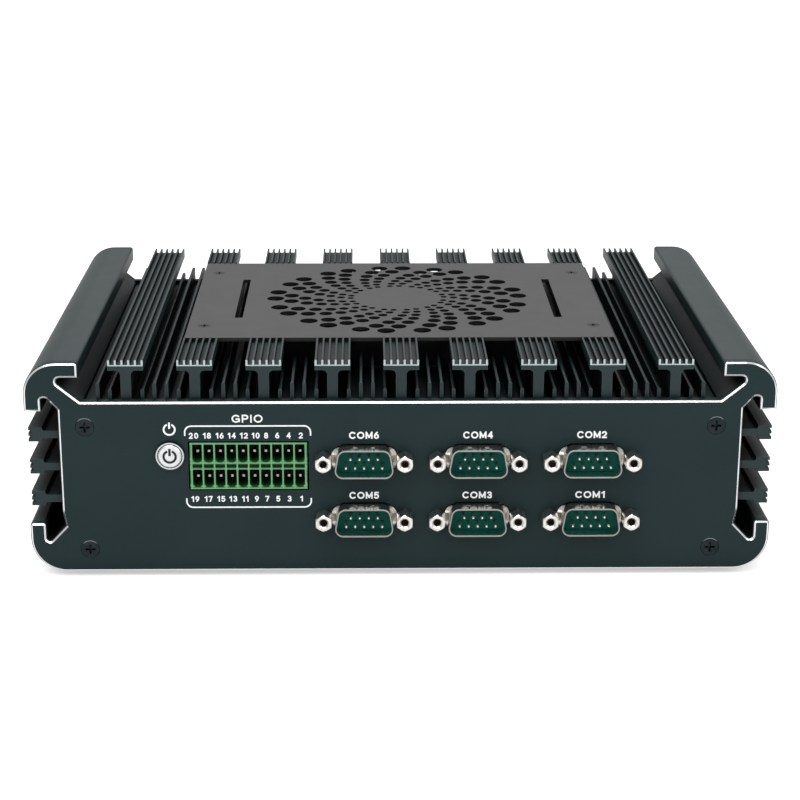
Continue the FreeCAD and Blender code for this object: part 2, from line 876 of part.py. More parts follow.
def make_fan_cover_screws():
    """Four small countersunk screws, flush with the cover."""
    screw = flat_screw(d.cover_screw_radius - 0.03, d.cover_screw_radius + 0.9, 7.0)
    places = [(point(x, y, cover_seat + d.cover_thickness), (0, 0, 1)) for x, y in cover_screw_points]
    node(shaped("CoverScrews", copies(screw, places)), "fan_cover_screws")


# ---------------------------------------------------------------- fan


STRUT_HEIGHT = 1.4
BLADE_COUNT = 9


def make_fan_frame():
    """Square fan frame with four struts, a motor base and a bearing tube."""
    half = d.fan_size / 2
    frame = solid_box(-half, half, d.fan_y - half, d.fan_y + half, fan_bottom, fan_top)
    uprights = [edge for edge in frame.Edges if edge.BoundBox.ZLength > float(d.fan_thickness) - 0.1]
    frame = frame.makeFillet(4.0, uprights)
    frame = frame.cut(solid_rod(0, d.fan_y, fan_bottom, d.fan_bore, d.fan_thickness))
    corners = []
    for x, y in fan_screw_points:
        corners.append(solid_rod(x, y, fan_bottom, 2.15, d.fan_thickness))
        corners.append(solid_rod(x, y, fan_top - 3.0, 3.4, 3.0))
    frame = frame.cut(corners)
    struts = [solid_rod(0, d.fan_y, fan_bottom, d.hub_radius - 1.5, STRUT_HEIGHT)]
    for k in range(4):
        strut = solid_box(8.0, d.fan_bore + 0.6, -1.6, 1.6, fan_bottom, fan_bottom + STRUT_HEIGHT)
        strut.rotate(Vector(), Vector(0, 0, 1), 45 * (2 * k + 1) - 20)
        strut.translate(Vector(0, float(d.fan_y), 0))
        struts.append(strut)
    tube_inner = d.shaft_radius + d.bearing_wall + 0.05
    struts.append(solid_rod(0, d.fan_y, fan_bottom, tube_inner + 0.7, bearing_top - fan_bottom))
    frame = frame.fuse(struts).removeSplitter()
    frame = frame.cut(solid_rod(0, d.fan_y, fan_bottom + 0.6, tube_inner, 8.0))
    node(shaped("FanFrame", frame), "fan_frame")


def make_fan_bearing():
    """Sleeve bearing in the frame's tube."""
    low = fan_bottom + 0.6
    outer = rod("BearingOuter", (0.0, d.fan_y, low), d.shaft_radius + d.bearing_wall, bearing_top - low)
    bore = rod("BearingBore", (0.0, d.fan_y, low), d.shaft_radius + d.shaft_clearance, bearing_top - low)
    node(cut("FanBearing", outer, [bore]), "fan_bearing")


def make_fan_stator():
    """Stator: a core on the bearing tube with eight wound poles."""
    inner = d.shaft_radius + d.bearing_wall + 0.8
    height = hub_roof - fan_bottom - 2.2
    stator = solid_rod(0, d.fan_y, fan_bottom + 2.2, 6.2, height - 2.0)
    parts = []
    for k in range(8):
        pole = solid_box(5.0, 10.4, -1.1, 1.1, fan_bottom + 2.8, fan_bottom + height - 0.4)
        shoe = solid_box(10.0, 12.0, -3.2, 3.2, fan_bottom + 2.4, fan_bottom + height)
        item = pole.fuse(shoe)
        item.rotate(Vector(), Vector(0, 0, 1), 45 * k)
        item.translate(Vector(0, float(d.fan_y), 0))
        parts.append(item)
    foot = solid_rod(0, d.fan_y, fan_bottom + STRUT_HEIGHT, 5.2, 1.0)
    stator = stator.fuse(parts + [foot]).removeSplitter()
    stator = stator.cut(solid_rod(0, d.fan_y, fan_bottom, inner, 10))
    node(shaped("FanStator", stator), "fan_stator")


def make_fan_blade():
    """One twisted blade lofted between a root and a tip section."""
    sections = []
    middle = (float(fan_bottom) + float(fan_top)) / 2 + 0.4
    lean = float(d.fan_thickness) / 10.0
    hub = float(d.hub_radius) - 0.8
    for radius, chord, pitch in ((hub, 9.6, 39), (27.0, 12.0, 30), (float(d.blade_tip), 14.5, 23)):
        half_c, half_t = chord / 2, 0.5
        turn = math.radians(pitch * lean)
        spots = []
        for along, across in ((-half_c, -half_t), (half_c, -half_t), (half_c, half_t), (-half_c, half_t)):
            y = along * math.cos(turn) - across * math.sin(turn)
            z = along * math.sin(turn) + across * math.cos(turn)
            spots.append(Vector(radius, y, middle + z))
        sections.append(Part.makePolygon(spots + [spots[0]]))
    return Part.makeLoft(sections, True, False)


def make_fan_rotor():
    """Rotor: a hub cup with nine blades."""
    hub_bottom = fan_bottom + 2.2
    hub_height = fan_top - d.rotor_gap - hub_bottom
    hub = solid_rod(0, 0, hub_bottom, d.hub_radius, hub_height)
    blade = make_fan_blade()
    blades = []
    for k in range(BLADE_COUNT):
        item = blade.copy()
        item.rotate(Vector(), Vector(0, 0, 1), 360 / BLADE_COUNT * k)
        blades.append(item)
    rotor = hub.fuse(blades)
    rotor = rotor.cut(solid_rod(0, 0, hub_bottom - 2, d.hub_radius - d.hub_wall, hub_roof - hub_bottom + 2))
    rotor = rotor.fuse(solid_rod(0, 0, hub_roof - 0.8, 3.4, 1.0)).removeSplitter()
    rotor = rotor.cut(solid_rod(0, 0, fan_bottom, d.shaft_radius, hub_roof + 0.4 - fan_bottom))
    rotor.translate(Vector(0, float(d.fan_y), 0))
    node(shaped("FanRotor", rotor), "fan_rotor")


def make_fan_inner_parts():
    """Magnet ring inside the hub and the shaft."""
    low = fan_bottom + 2.4
    outer = d.hub_radius - d.hub_wall
    ring = rod("MagnetOuter", (0.0, d.fan_y, low), outer, hub_roof - low)
    bore = rod("MagnetBore", (0.0, d.fan_y, low), outer - d.magnet_wall, hub_roof - low)
    node(cut("FanMagnet", ring, [bore]), "fan_magnet_ring")
    shaft_low = fan_bottom + 1.0
    shaft_length = hub_roof + 0.4 - shaft_low
    node(rod("FanShaft", (0.0, d.fan_y, shaft_low), d.shaft_radius, shaft_length), "fan_shaft")


def make_fan_screws():
    """Four pan-head screws that hold the fan to the heatsink's pads."""
    screw = pan_screw(d.screw_radius - 0.05, 2.9, 1.8, float(d.fan_thickness) + 1.0)
    places = [(point(x, y, fan_top - 3.0), (0, 0, 1)) for x, y in fan_screw_points]
    node(shaped("FanScrews", copies(screw, places)), "fan_screws")


# ---------------------------------------------------------------- front connectors


BUMP_RADIUS, BUMP_SINK, BUMP_X = 1.6, 1.3, 2.8


def pin_offsets():
    """Nine pin places of a D connector: five below, four above."""
    pitch, lift = 2.77, 1.42
    low = [(pitch * (k - 2), -lift) for k in range(5)]
    high = [(pitch * (k - 1.5), lift) for k in range(4)]
    return low + high


def make_d_shell(x, z, face, outward, wide_side):
    """D connector shell: flange behind the panel, side flares and D tube with two bumps on its slim side."""
    step = float(outward)
    flange_y = float(face)
    reach = float(d.shell_reach + d.panel_thickness)
    lip = float(d.panel_thickness + d.flare_reach)
    wall = 2 * float(d.shell_wall)

    def between(corners, a, b):
        low, high = sorted((flange_y + step * float(a), flange_y + step * float(b)))
        return prism(corners, low, high)

    flange = between(block_corners(x, z, 30.8, 12.4, 1.0), -d.shell_flange, 0)
    root = block_corners(x, z, d.flare_width, d.flare_height, 2.7)
    neck = block_corners(x, z, d.flare_width - 2.6, d.flare_height - 0.6, 2.2)
    flare = between(root, -0.1, lip - 0.5)
    slope_start = rounded_wire(root, flange_y + step * (lip - 0.5))
    slope_end = rounded_wire(neck, flange_y + step * (lip + 0.6))
    slope = Part.makeLoft([slope_start, slope_end], True, True)
    tube = between(d_corners(x, z, d.shell_width, d.shell_height, 2.6, wide_side), 0, reach)
    bump_z = z - wide_side * (d.shell_height / 2 - BUMP_SINK)
    bumps = [
        Part.makeSphere(BUMP_RADIUS, point(x + side * BUMP_X, flange_y + step * (reach - 2.6), bump_z))
        for side in (-1, 1)
    ]
    shell = flange.fuse([flare, slope, tube] + bumps)
    inner = d_corners(x, z, d.shell_width - wall, d.shell_height - wall, 2.1, wide_side)
    shell = shell.cut(between(inner, -2, reach + 1))
    half_spacing = d.jack_spacing / 2
    holes = [solid_rod(x + side * half_spacing, flange_y - 2, z, 1.6, 4, (0, 1, 0)) for side in (-1, 1)]
    return shell.cut(holes).removeSplitter()


def make_com_ports():
    """Six serial ports: shells one by one, then their insulators, pins and jackscrews."""
    insulators, pins, jacks = [], [], []
    face = inner_front
    wall = 2 * d.shell_wall + 0.1
    for number, x, z in com_centres:
        shell = make_d_shell(x, z, face, -1, -1)
        node(shaped(f"ComShell{number}", shell), f"com_port_{number}_shell")
        core_y = front - d.insulator_reach
        inner = d_corners(x, z, d.shell_width - wall, d.shell_height - wall, 2.0, -1)
        core = prism(inner, core_y, face + 1.0)
        rear = prism(d_corners(x, z, 20.0, 10.6, 1.0, -1), face + d.shell_flange, serial_front)
        insulator = core.fuse(rear).removeSplitter()
        holes = []
        for dx, dz in pin_offsets():
            radius = float(d.pin_radius)
            hole_length = serial_front - core_y + 2
            holes.append(solid_rod(x + dx, core_y - 1, z + dz, radius + 0.05, hole_length, (0, 1, 0)))
            tip_y = front - d.shell_reach + d.pin_setback
            tip = Part.makeCone(radius / 2, radius, 0.4, point(x + dx, tip_y, z + dz), Vector(0, 1, 0))
            pin = solid_rod(x + dx, tip_y + 0.4, z + dz, radius, serial_front - tip_y - 0.4, (0, 1, 0))
            pins.append(pin.fuse(tip).removeSplitter())
        insulators.append(insulator.cut(holes))
        for side in (-1, 1):
            jacks.append(make_jackscrew(x + side * d.jack_spacing / 2, z, front, -1))
    node(shaped("ComInsulators", Part.makeCompound(insulators)), "com_insulators")
    node(shaped("ComPins", Part.makeCompound(pins)), "com_pins")
    node(shaped("ComJacks", Part.makeCompound(jacks)), "com_jackscrews")


def make_jackscrew(x, z, face, outward):
    """Hexagonal jackscrew: hex outside the panel, threaded bore, stud through panel and flange."""
    tip = face + outward * d.jack_length
    low, high = sorted((float(face), float(tip)))
    body = hexagon(x, z, d.jack_hex, low, high)
    half_hex = float(d.jack_hex) / 2
    inward = Vector(0, -outward, 0)
    crown = Part.makeCone(half_hex - 0.1, half_hex + 1.1, 1.2, point(x, tip, z), inward)
    rest = Part.makeCylinder(4, float(d.jack_length), point(x, tip - outward * 1.2, z), inward)
    body = body.common(crown.fuse(rest))
    stud = Part.makeCylinder(1.4, 6.5, point(x, face, z), inward)
    bore_radius = float(d.jack_bore)
    bore = Part.makeCylinder(bore_radius, 5.2, point(x, tip, z), inward)
    mouth = Part.makeCone(bore_radius + 0.5, bore_radius, 0.5, point(x, tip, z), inward)
    return body.fuse(stud).removeSplitter().cut([bore, mouth])


def make_gpio_header():
    """Twenty-way pluggable terminal header: green body with open cells, and its square pins."""
    z = d.foot_height + d.gpio_level
    half_w, half_h = gpio_width / 2, d.gpio_height / 2
    face = front - d.gpio_reach
    body = solid_box(gpio_x - half_w, gpio_x + half_w, face, serial_front, z - half_h, z + half_h)
    half_cell = (d.gpio_pitch - d.gpio_wall) / 2
    cell_height = d.gpio_cell_height
    half_pin = d.gpio_pin / 2
    key = 0.9
    cell_end = face + 9.0
    tools, pins = [], []
    for column in range(10):
        cx = gpio_x + d.gpio_pitch * (column - 4.5)
        for low in (z + half_h - d.gpio_wall - cell_height, z - half_h + d.gpio_wall):
            cell = [
                (cx - half_cell, low + cell_height, 0.4),
                (cx - half_cell, low + key, 0),
                (cx - half_cell + key, low, 0),
                (cx + half_cell - key, low, 0),
                (cx + half_cell, low + key, 0),
                (cx + half_cell, low + cell_height, 0.4),
            ]
            tools.append(prism(cell, face - 1, cell_end))
            middle = low + cell_height / 2
            tip = face + d.gpio_pin_recess
            low_pin, high_pin = middle - half_pin, middle + half_pin
            pins.append(solid_box(cx - half_pin, cx + half_pin, tip, cell_end, low_pin, high_pin))
        window_low = z - half_h + d.gpio_wall * 2 + cell_height
        window_high = z + half_h - d.gpio_wall * 2 - cell_height
        tools.append(
            solid_box(cx - half_cell, cx + half_cell, face - 1, face + 1.6, window_low, window_high)
        )
    node(shaped("GpioBody", body.cut(tools)), "gpio_header_body")
    node(shaped("GpioPins", Part.makeCompound(pins)), "gpio_header_pins")


def make_power_button():
    """Round push button: bezel, sliding cap, panel nut and switch module behind."""
    x, z = button_x, d.foot_height + d.button_level
    bore = d.button_radius + d.button_clearance
    barrel = barrel_radius
    reach = 9.0
    ring = rod("BezelRing", (x, front - 1.0, z), d.bezel_radius, 1.0, "y")
    tube = rod("BezelTube", (x, front - 0.2, z), barrel, reach, "y")
    hole = rod("BezelBore", (x, front - 2, z), bore, reach + 4, "y")
    node(cut("Bezel", join("BezelBlank", [ring, tube]), [hole]), "power_button_bezel")
    head = rod("CapHead", (x, front - 1.5, z), d.button_radius, 4.0, "y")
    stem = rod("CapStem", (x, front + 2.5, z), 1.2, 6.8, "y")
    blank = join("CapBlank", [head, stem])
    cap = doc.addObject("Part::Chamfer", "Cap")
    cap.Base = blank
    doc.recompute()
    rim = [
        index
        for index, edge in enumerate(blank.Shape.Edges, start=1)
        if edge.BoundBox.YLength < 1e-6 and abs(edge.BoundBox.YMin - float(front - 1.5)) < 1e-6
    ]
    cap.Edges = [(index, 0.35, 0.35) for index in rim]
    node(cap, "power_button_cap")
    nut = hexagon(x, z, 10.0, inner_front, inner_front + 2.0)
    nut = nut.cut(solid_rod(x, inner_front - 1, z, barrel + 0.06, 5, (0, 1, 0)))
    node(shaped("ButtonNut", nut), "power_button_nut")
    module = box("SwitchBlock", (x - 5.0, front + reach - 0.2, z - 5.0), (10.0, 4.0, 10.0))
    well = rod("SwitchWell", (x, front + reach - 1.0, z), 1.6, 3.4, "y")
    node(cut("Switch", module, [well]), "power_button_switch")


def make_serial_board():
    """Upright board behind the front panel that carries the serial ports and the header."""
    low_x, high_x = -77.0, 76.0
    low_z, high_z = board_top + 0.2 - 17.0, d.foot_height + 46.5
    board = box(
        "SerialBoard", (low_x, serial_front, low_z), (high_x - low_x, d.board_thickness, high_z - low_z)
    )
    z = d.foot_height + d.button_level
    relief = box("ButtonRelief", (button_x - 6.2, serial_front - 1, z - 6.2), (12.4, 4.0, 12.4))
    node(cut("SerialBoardCut", board, [relief]), "serial_board_pcb")


# ---------------------------------------------------------------- rear panel and its connectors

REAR_X = {
    "dc": -74.0,
    "hdmi": -56.0,
    "vga": -30.0,
    "usb_a": 0.0,
    "lan_a": 19.0,
    "lan_b": 37.0,
    "usb_b": 56.0,
}
VGA_LIFT = 6.6
ANTENNA_X = 88.0
ANTENNA_LEVEL = 28.0
PORT_SIZES = {"dc": (9.0, 11.0), "hdmi": (15.2, 5.8), "usb": (13.6, 15.6), "lan": (16.0, 13.6)}


def make_rear_panel():
    """Rear panel with a cutout for each connector, antenna holes and screw holes."""
    blank = panel_blank(back, inner_back)
    tools = [countersink(x, z, back, -1) for x, z in panel_screw_points]

    def window(x, size):
        width, height = size
        half_x = width / 2 + d.fit_gap
        low_z, high_z = board_top - d.fit_gap, board_top + height + d.fit_gap
        return solid_box(x - half_x, x + half_x, inner_back - 1, back + 1, low_z, high_z)

    tools.append(window(REAR_X["dc"], PORT_SIZES["dc"]))
    tools.append(window(REAR_X["hdmi"], PORT_SIZES["hdmi"]))
    for name in ("usb_a", "usb_b"):
        tools.append(window(REAR_X[name], PORT_SIZES["usb"]))
    for name in ("lan_a", "lan_b"):
        tools.append(window(REAR_X[name], PORT_SIZES["lan"]))
    vga_z = board_top + VGA_LIFT
    tools.append(d_window(REAR_X["vga"], vga_z, inner_back - 1, back + 1, 1))
    for side in (-1, 1):
        jack_x = REAR_X["vga"] + side * d.jack_spacing / 2
        tools.append(solid_rod(jack_x, inner_back - 1, vga_z, 1.6, 6, (0, 1, 0)))
    for x in (-ANTENNA_X, ANTENNA_X):
        tools.append(solid_rod(x, inner_back - 1, d.foot_height + ANTENNA_LEVEL, 3.2, 6, (0, 1, 0)))
    node(shaped("RearPanel", blank.cut(tools)), "rear_panel")


def make_antenna_plugs():
    """Two rubber plugs in the antenna holes."""
    plugs = []
    for x in (-ANTENNA_X, ANTENNA_X):
        z = d.foot_height + 28.0
        head = solid_rod(x, back, z, 4.4, 1.2, (0, 1, 0))
        plugs.append(head.fuse(solid_rod(x, inner_back - 1.0, z, 3.0, 4.2, (0, 1, 0))).removeSplitter())
    node(shaped("AntennaPlugs", Part.makeCompound(plugs)), "antenna_plugs")


def socket_block(x, width, height, depth, wall, mouth, back_stop):
    """Box connector on the board's rear edge with one straight mouth."""
    outer = back + d.rear_port_y
    block = solid_box(x - width / 2, x + width / 2, outer - depth, outer, board_top, board_top + height)
    mouth_w, mouth_z0, mouth_z1 = mouth
    half_mouth = mouth_w / 2
    low_z, high_z = board_top + mouth_z0, board_top + mouth_z1
    stop_y = outer - depth + back_stop
    return block.cut(solid_box(x - half_mouth, x + half_mouth, stop_y, outer + 1, low_z, high_z))


def make_rear_ports():
    """Power inlet, display, network and USB connectors, standing on the main board."""
    outer = back + d.rear_port_y
    width, height = PORT_SIZES["dc"]
    dc_z = board_top + 6.5
    x = REAR_X["dc"]
    dc = solid_box(x - width / 2, x + width / 2, outer - 14, outer, board_top, board_top + height)
    dc = dc.cut(solid_rod(x, outer - 11, dc_z, 3.15, 12, (0, 1, 0)))
    dc = dc.fuse(solid_rod(x, outer - 11.5, dc_z, 1.25, 10.0, (0, 1, 0))).removeSplitter()
    node(shaped("DcJack", dc), "dc_jack")

    width, height = PORT_SIZES["hdmi"]
    x = REAR_X["hdmi"]
    block = solid_box(x - width / 2, x + width / 2, outer - 11.5, outer, board_top, board_top + height)
    middle = board_top + height / 2
    mouth = prism([
        (x - 7.0, middle + 2.2, 0.4), (x - 7.0, middle - 0.6, 0.4), (x - 5.4, middle - 2.2, 0.4),
        (x + 5.4, middle - 2.2, 0.4), (x + 7.0, middle - 0.6, 0.4), (x + 7.0, middle + 2.2, 0.4),
    ], outer - 10, outer + 1)
    tongue = solid_box(x - 5.8, x + 5.8, outer - 10.5, outer - 1.0, middle - 0.1, middle + 1.1)
    node(shaped("HdmiPort", block.cut(mouth).fuse(tongue).removeSplitter()), "hdmi_port")

    width, height = PORT_SIZES["usb"]
    stacks = []
    for name in ("usb_a", "usb_b"):
        x = REAR_X[name]
        stack = socket_block(x, width, height, 17.0, 0.5, (12.6, 0.8, 5.9), 1.0)
        hollow = solid_box(x - 6.3, x + 6.3, outer - 16, outer + 1, board_top + 9.2, board_top + 14.3)
        stack = stack.cut(hollow)
        tongues = [
            solid_box(x - 5.6, x + 5.6, outer - 16.2, outer - 1.0, board_top + low, board_top + low + 1.9)
            for low in (3.4, 11.8)
        ]
        stacks.append(stack.fuse(tongues).removeSplitter())
    node(shaped("UsbPorts", Part.makeCompound(stacks)), "usb_ports")

    width, height = PORT_SIZES["lan"]
    sockets = []
    for name in ("lan_a", "lan_b"):
        x = REAR_X[name]
        block = socket_block(x, width, height, 21.0, 1.0, (11.8, 3.0, 10.6), 8.0)
        latch = solid_box(x - 3.1, x + 3.1, outer - 7.0, outer + 1, board_top + 1.0, board_top + 3.5)
        sockets.append(block.cut(latch))
    node(shaped("LanPorts", Part.makeCompound(sockets)), "ethernet_ports")


def make_vga_port():
    """Fifteen-way display connector: shell, blue insert with sockets and its two jackscrews."""
    x, z = REAR_X["vga"], board_top + VGA_LIFT
    shell = make_d_shell(x, z, inner_back, 1, 1)
    node(shaped("VgaShell", shell), "vga_port_shell")
    wall = 2 * d.shell_wall + 0.1
    inner = d_corners(x, z, d.shell_width - wall, d.shell_height - wall, 2.0)
    core = prism(inner, inner_back - 1.0, back + d.shell_reach - 0.4)
    rear = solid_box(x - 9.6, x + 9.6, inner_back - 12.0, inner_back - d.shell_flange, board_top, z + 5.3)
    insert = core.fuse(rear).removeSplitter()
    holes = []
    for line in (-1, 0, 1):
        for k in range(5):
            px = x + 2.29 * (k - 2) + 0.57 * line
            holes.append(solid_rod(px, back + d.shell_reach - 4, z + 1.98 * line, 0.5, 5, (0, 1, 0)))
    node(shaped("VgaInsert", insert.cut(holes)), "vga_port_insert")
    jacks = [make_jackscrew(x + side * d.jack_spacing / 2, z, back, 1) for side in (-1, 1)]
    node(shaped("VgaJacks", Part.makeCompound(jacks)), "vga_jackscrews")


# ---------------------------------------------------------------- bottom, feet and panel screws


def make_bottom_cover():
    """Bottom cover sheet: pad, screw holes, bracket holes and rows of vents."""
    body, planes = new_body("BottomCover")
    place(body, 0.0, 0.0, d.foot_height + d.bottom_level)
    half_x = screw_x - 0.4 - d.fit_gap
    half_y = inner_back - d.fit_gap
    outline = new_sketch(body, planes["XY_Plane"], "BottomOutline")
    draw_rectangle(outline, (-half_x, -half_y), (half_x, half_y))
    pad(body, outline, "BottomSheet", d.bottom_thickness)
    doc.recompute()
    holes = new_sketch(body, planes["XY_Plane"], "BottomHoles", d.bottom_thickness)
    for x, y in bottom_screw_points:
        draw_circle(holes, x, y, d.screw_radius + 0.15)
    for sx in (-1, 1):
        for sy in (-1, 1):
            draw_circle(holes, sx * d.bracket_pitch / 2, sy * d.bracket_pitch / 2, 2.0)
    for x, y in standoff_points:
        draw_circle(holes, x, y, 1.65)
    pocket(body, holes, "BottomScrewHoles", d.bottom_thickness + 1)
    doc.recompute()
    slots = new_sketch(body, planes["XY_Plane"], "BottomVents", d.bottom_thickness)
    for side in (-1, 1):
        for k in range(7):
            x = side * (52.0 + 4.5 * k)
            draw_rectangle(slots, (x - 1.0, -14.0), (x + 1.0, 14.0))
    vents = pocket(body, slots, "BottomVentSlots", d.bottom_thickness + 1)
    body.Tip = vents
    node(body, "bottom_cover")


def make_feet():
    """Four round rubber feet under the bottom cover."""
    feet = []
    for number, (sx, sy) in enumerate(((-1, -1), (-1, 1), (1, -1), (1, 1))):
        x = sx * (half_width - d.foot_inset_x)
        y = sy * (d.case_depth / 2 - d.foot_inset_y)
        feet.append(rod(f"Foot{number}", (x, y, 0.0), d.foot_radius, d.foot_height + d.bottom_level))
    node(group("Feet", feet), "rubber_feet")


def make_case_screws():
    """Countersunk screws of both panels and pan-head screws of the bottom cover."""
    screw = flat_screw(d.screw_radius - 0.02, d.screw_head_radius, 11.0)
    places = [(point(x, front, z), (0, -1, 0)) for x, z in panel_screw_points]
    node(shaped("FrontScrews", copies(screw, places)), "front_panel_screws")
    places = [(point(x, back, z), (0, 1, 0)) for x, z in panel_screw_points]
    node(shaped("RearScrews", copies(screw, places)), "rear_panel_screws")
    low = pan_screw(d.screw_radius - 0.02, 2.6, 1.2, 4.2)
    base = d.foot_height + d.bottom_level
    places = [(point(x, y, base), (0, 0, -1)) for x, y in bottom_screw_points]
    node(shaped("BottomScrews", copies(low, places)), "bottom_cover_screws")


# ---------------------------------------------------------------- inside


def make_main_board():
    """Main board with its mounting holes."""
    low_x = -(d.board_width / 2)
    size = (d.board_width, d.board_depth, d.board_thickness)
    board = box("Board", (low_x, board_front, board_bottom), size)
    holes = [
        rod(f"BoardHole{k}", (x, y, board_bottom - 1), 1.7, d.board_thickness + 2)
        for k, (x, y) in enumerate(standoff_points)
    ]
    node(cut("MainBoard", board, holes), "mainboard_pcb")


def make_standoffs():
    """Four round standoffs from the bottom cover to the board, and the screws at both ends."""
    height = board_bottom - bottom_top
    standoffs = []
    for k, (x, y) in enumerate(standoff_points):
        post = rod(f"Post{k}", (x, y, bottom_top), 2.75, height)
        bore = rod(f"PostBore{k}", (x, y, bottom_top), 1.25, height)
        standoffs.append(cut(f"Standoff{k}", post, [bore]))
    node(group("Standoffs", standoffs), "board_standoffs")
    screw = pan_screw(1.2, 2.6, 1.6, 7.0)
    places = [(point(x, y, board_top), (0, 0, 1)) for x, y in standoff_points]
    places += [(point(x, y, d.foot_height + d.bottom_level), (0, 0, -1)) for x, y in standoff_points]
    node(shaped("BoardScrews", copies(screw, places)), "board_screws")


def make_cooling_stack():
    """Processor, thermal pad and the block that takes its heat up to the heatsink deck."""
    y = d.fan_y - 3.0
    package = box("CpuPackage", (-22.5, y - 22.5, board_top), (45.0, 45.0, 1.2))
    lid = box("CpuLid", (-12.0, y - 12.0, board_top + 1.2), (24.0, 24.0, 1.6))
    node(join("Cpu", [package, lid]), "cpu_package")
    pad_low = board_top + 2.8
    node(box("ThermalPad", (-15.0, y - 15.0, pad_low), (30.0, 30.0, 0.8)), "thermal_pad")
    block_low = pad_low + 0.8
    block = box("SpreaderCore", (-22.0, y - 22.0, block_low), (44.0, 44.0, deck_bottom - block_low))
    plate = box("SpreaderPlate", (-32.0, y - 32.0, deck_bottom - 4.0), (64.0, 64.0, 4.0))
    node(join("Spreader", [block, plate]), "heat_spreader_block")


def make_memory():
    """Memory socket on the board and the module lying in it."""
    x0, y0 = -74.0, board_front + 4.0
    base = box("MemorySocketBar", (x0 + 24.0, y0, board_top), (7.0, 68.0, 5.2))
    arm_a = box("MemoryArmA", (x0, y0 - 2.4, board_top), (31.0, 2.0, 4.2))
    arm_b = box("MemoryArmB", (x0, y0 + 68.4, board_top), (31.0, 2.0, 4.2))
    tie = box("MemoryTie", (x0 + 25.0, y0 - 1.0, board_top), (5.0, 70.0, 1.2))
    slit = box("MemorySlit", (x0 + 23.0, y0 + 0.1, board_top + 2.4), (5.0, 67.8, 1.2))
    bar = join("MemorySocketBlank", [base, arm_a, arm_b, tie])
    node(cut("MemorySocket", bar, [slit]), "memory_socket")
    card = box("MemoryCard", (x0 - 2.0, y0 + 0.2, board_top + 2.4), (30.0, 67.6, 1.2))
    chips = [
        box(f"MemoryChip{k}", (x0 + 3.0, y0 + 5.0 + 15.5 * k, board_top + 3.6), (13.0, 11.0, 1.1))
        for k in range(4)
    ]
    node(join("MemoryModule", [card] + chips), "memory_module")


def make_storage():
    """M.2 drive with its stud on the board, and a 2.5 inch drive on a tray under it."""
    x0, y0 = 38.0, board_front + 6.0
    card = box("SsdCard", (x0, y0, board_top + 2.2), (22.0, 80.0, 0.8))
    chips = [
        box(f"SsdChip{k}", (x0 + 2.0, y0 + 6.0 + 22.0 * k, board_top + 3.0), (18.0, 16.0, 1.2))
        for k in range(3)
    ]
    socket = box("SsdSocket", (x0 - 0.5, y0 + 76.0, board_top), (23.0, 8.0, 2.2))
    stud = rod("SsdStud", (x0 + 11.0, y0 + 2.5, board_top), 2.2, 2.2)
    node(join("SsdModule", [card, socket, stud] + chips), "ssd_module")
    floor = box("TrayFloor", (-50.0, -40.0, bottom_top), (100.0, 80.0, 1.2))
    half = d.bracket_pitch / 2
    reliefs = [
        rod(f"TrayRelief{k}", (sx * half, sy * half, bottom_top), 3.0, 1.2)
        for k, (sx, sy) in enumerate(((-1, -1), (-1, 1), (1, -1), (1, 1)))
    ]
    tray = cut("TrayFloorCut", floor, reliefs)
    walls = [
        box(f"TrayWall{k}", (-50.0, y, bottom_top), (100.0, 1.2, 9.0)) for k, y in enumerate((-41.2, 40.0))
    ]
    node(join("DriveTray", [tray] + walls), "drive_tray")
    node(box("Drive", (-50.0, -34.9, bottom_top + 1.2), (100.0, 69.85, 7.0)), "storage_drive")


def make_small_board_parts():
    """Coin cell in its holder, capacitors, coils and the link to the serial board."""
    cx, cy = 73.2, board_front + 24.0
    holder = rod("CellHolderBlank", (cx, cy, board_top), 11.5, 3.6)
    well = rod("CellWell", (cx, cy, board_top + 0.8), 10.2, 4.0)
    node(cut("CellHolder", holder, [well]), "coin_cell_holder")
    node(rod("CoinCell", (cx, cy, board_top + 0.8), 10.0, 3.2), "coin_cell")
    cans = [
        rod(f"Can{k}", (-30.0 + 8.0 * k, board_back - 32.0, board_top), 3.1, 6.5) for k in range(6)
    ]
    node(group("Capacitors", cans), "board_capacitors")
    coils = [
        box(f"Coil{k}", (-80.0 + 9.0 * k, board_back - 36.0, board_top), (7.0, 7.0, 4.0)) for k in range(4)
    ]
    node(group("Coils", coils), "board_inductors")
    link_y = serial_back
    length = board_front + 6.0 - link_y
    link = box("Link", (12.0, link_y, board_top), (20.0, length, 6.0))
    node(link, "board_link_connector")


# ---------------------------------------------------------------- build and export

make_front_panel()
make_rear_panel()
make_rails()
make_heatsink()
make_bottom_cover()
make_feet()
make_case_screws()
make_fan_cover()
make_fan_cover_screws()
make_fan_frame()
make_fan_bearing()
make_fan_stator()
make_fan_rotor()
make_fan_inner_parts()
make_fan_screws()
make_com_ports()
make_gpio_header()
make_power_button()
make_serial_board()
make_vga_port()
make_rear_ports()
make_antenna_plugs()
make_main_board()
make_standoffs()
make_cooling_stack()
make_memory()
make_storage()
make_small_board_parts()
doc.recompute()

failed = [obj.Label for obj in doc.Objects if "Invalid" in obj.State or "Error" in obj.State]
bad = [obj.Label for obj in nodes if obj.Shape.isNull() or not obj.Shape.isValid()]
if failed or bad:
    raise RuntimeError(f"failed objects: {failed}; bad shapes: {bad}")

os.makedirs("parts", exist_ok=True)
total = 0.0
for obj in nodes:
    obj.Shape.exportStep(f"parts/{obj.Label}.step")
    total += obj.Shape.Volume
    print(f"{obj.Label}: {len(obj.Shape.Solids)} solids, {obj.Shape.Volume:.0f} mm3")
print(f"{len(nodes)} nodes, {total:.0f} mm3")
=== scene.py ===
"""Looks of the industrial mini PC: materials, printed labels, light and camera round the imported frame."""
import math

import bmesh
import bpy
from mathutils import Matrix, Vector


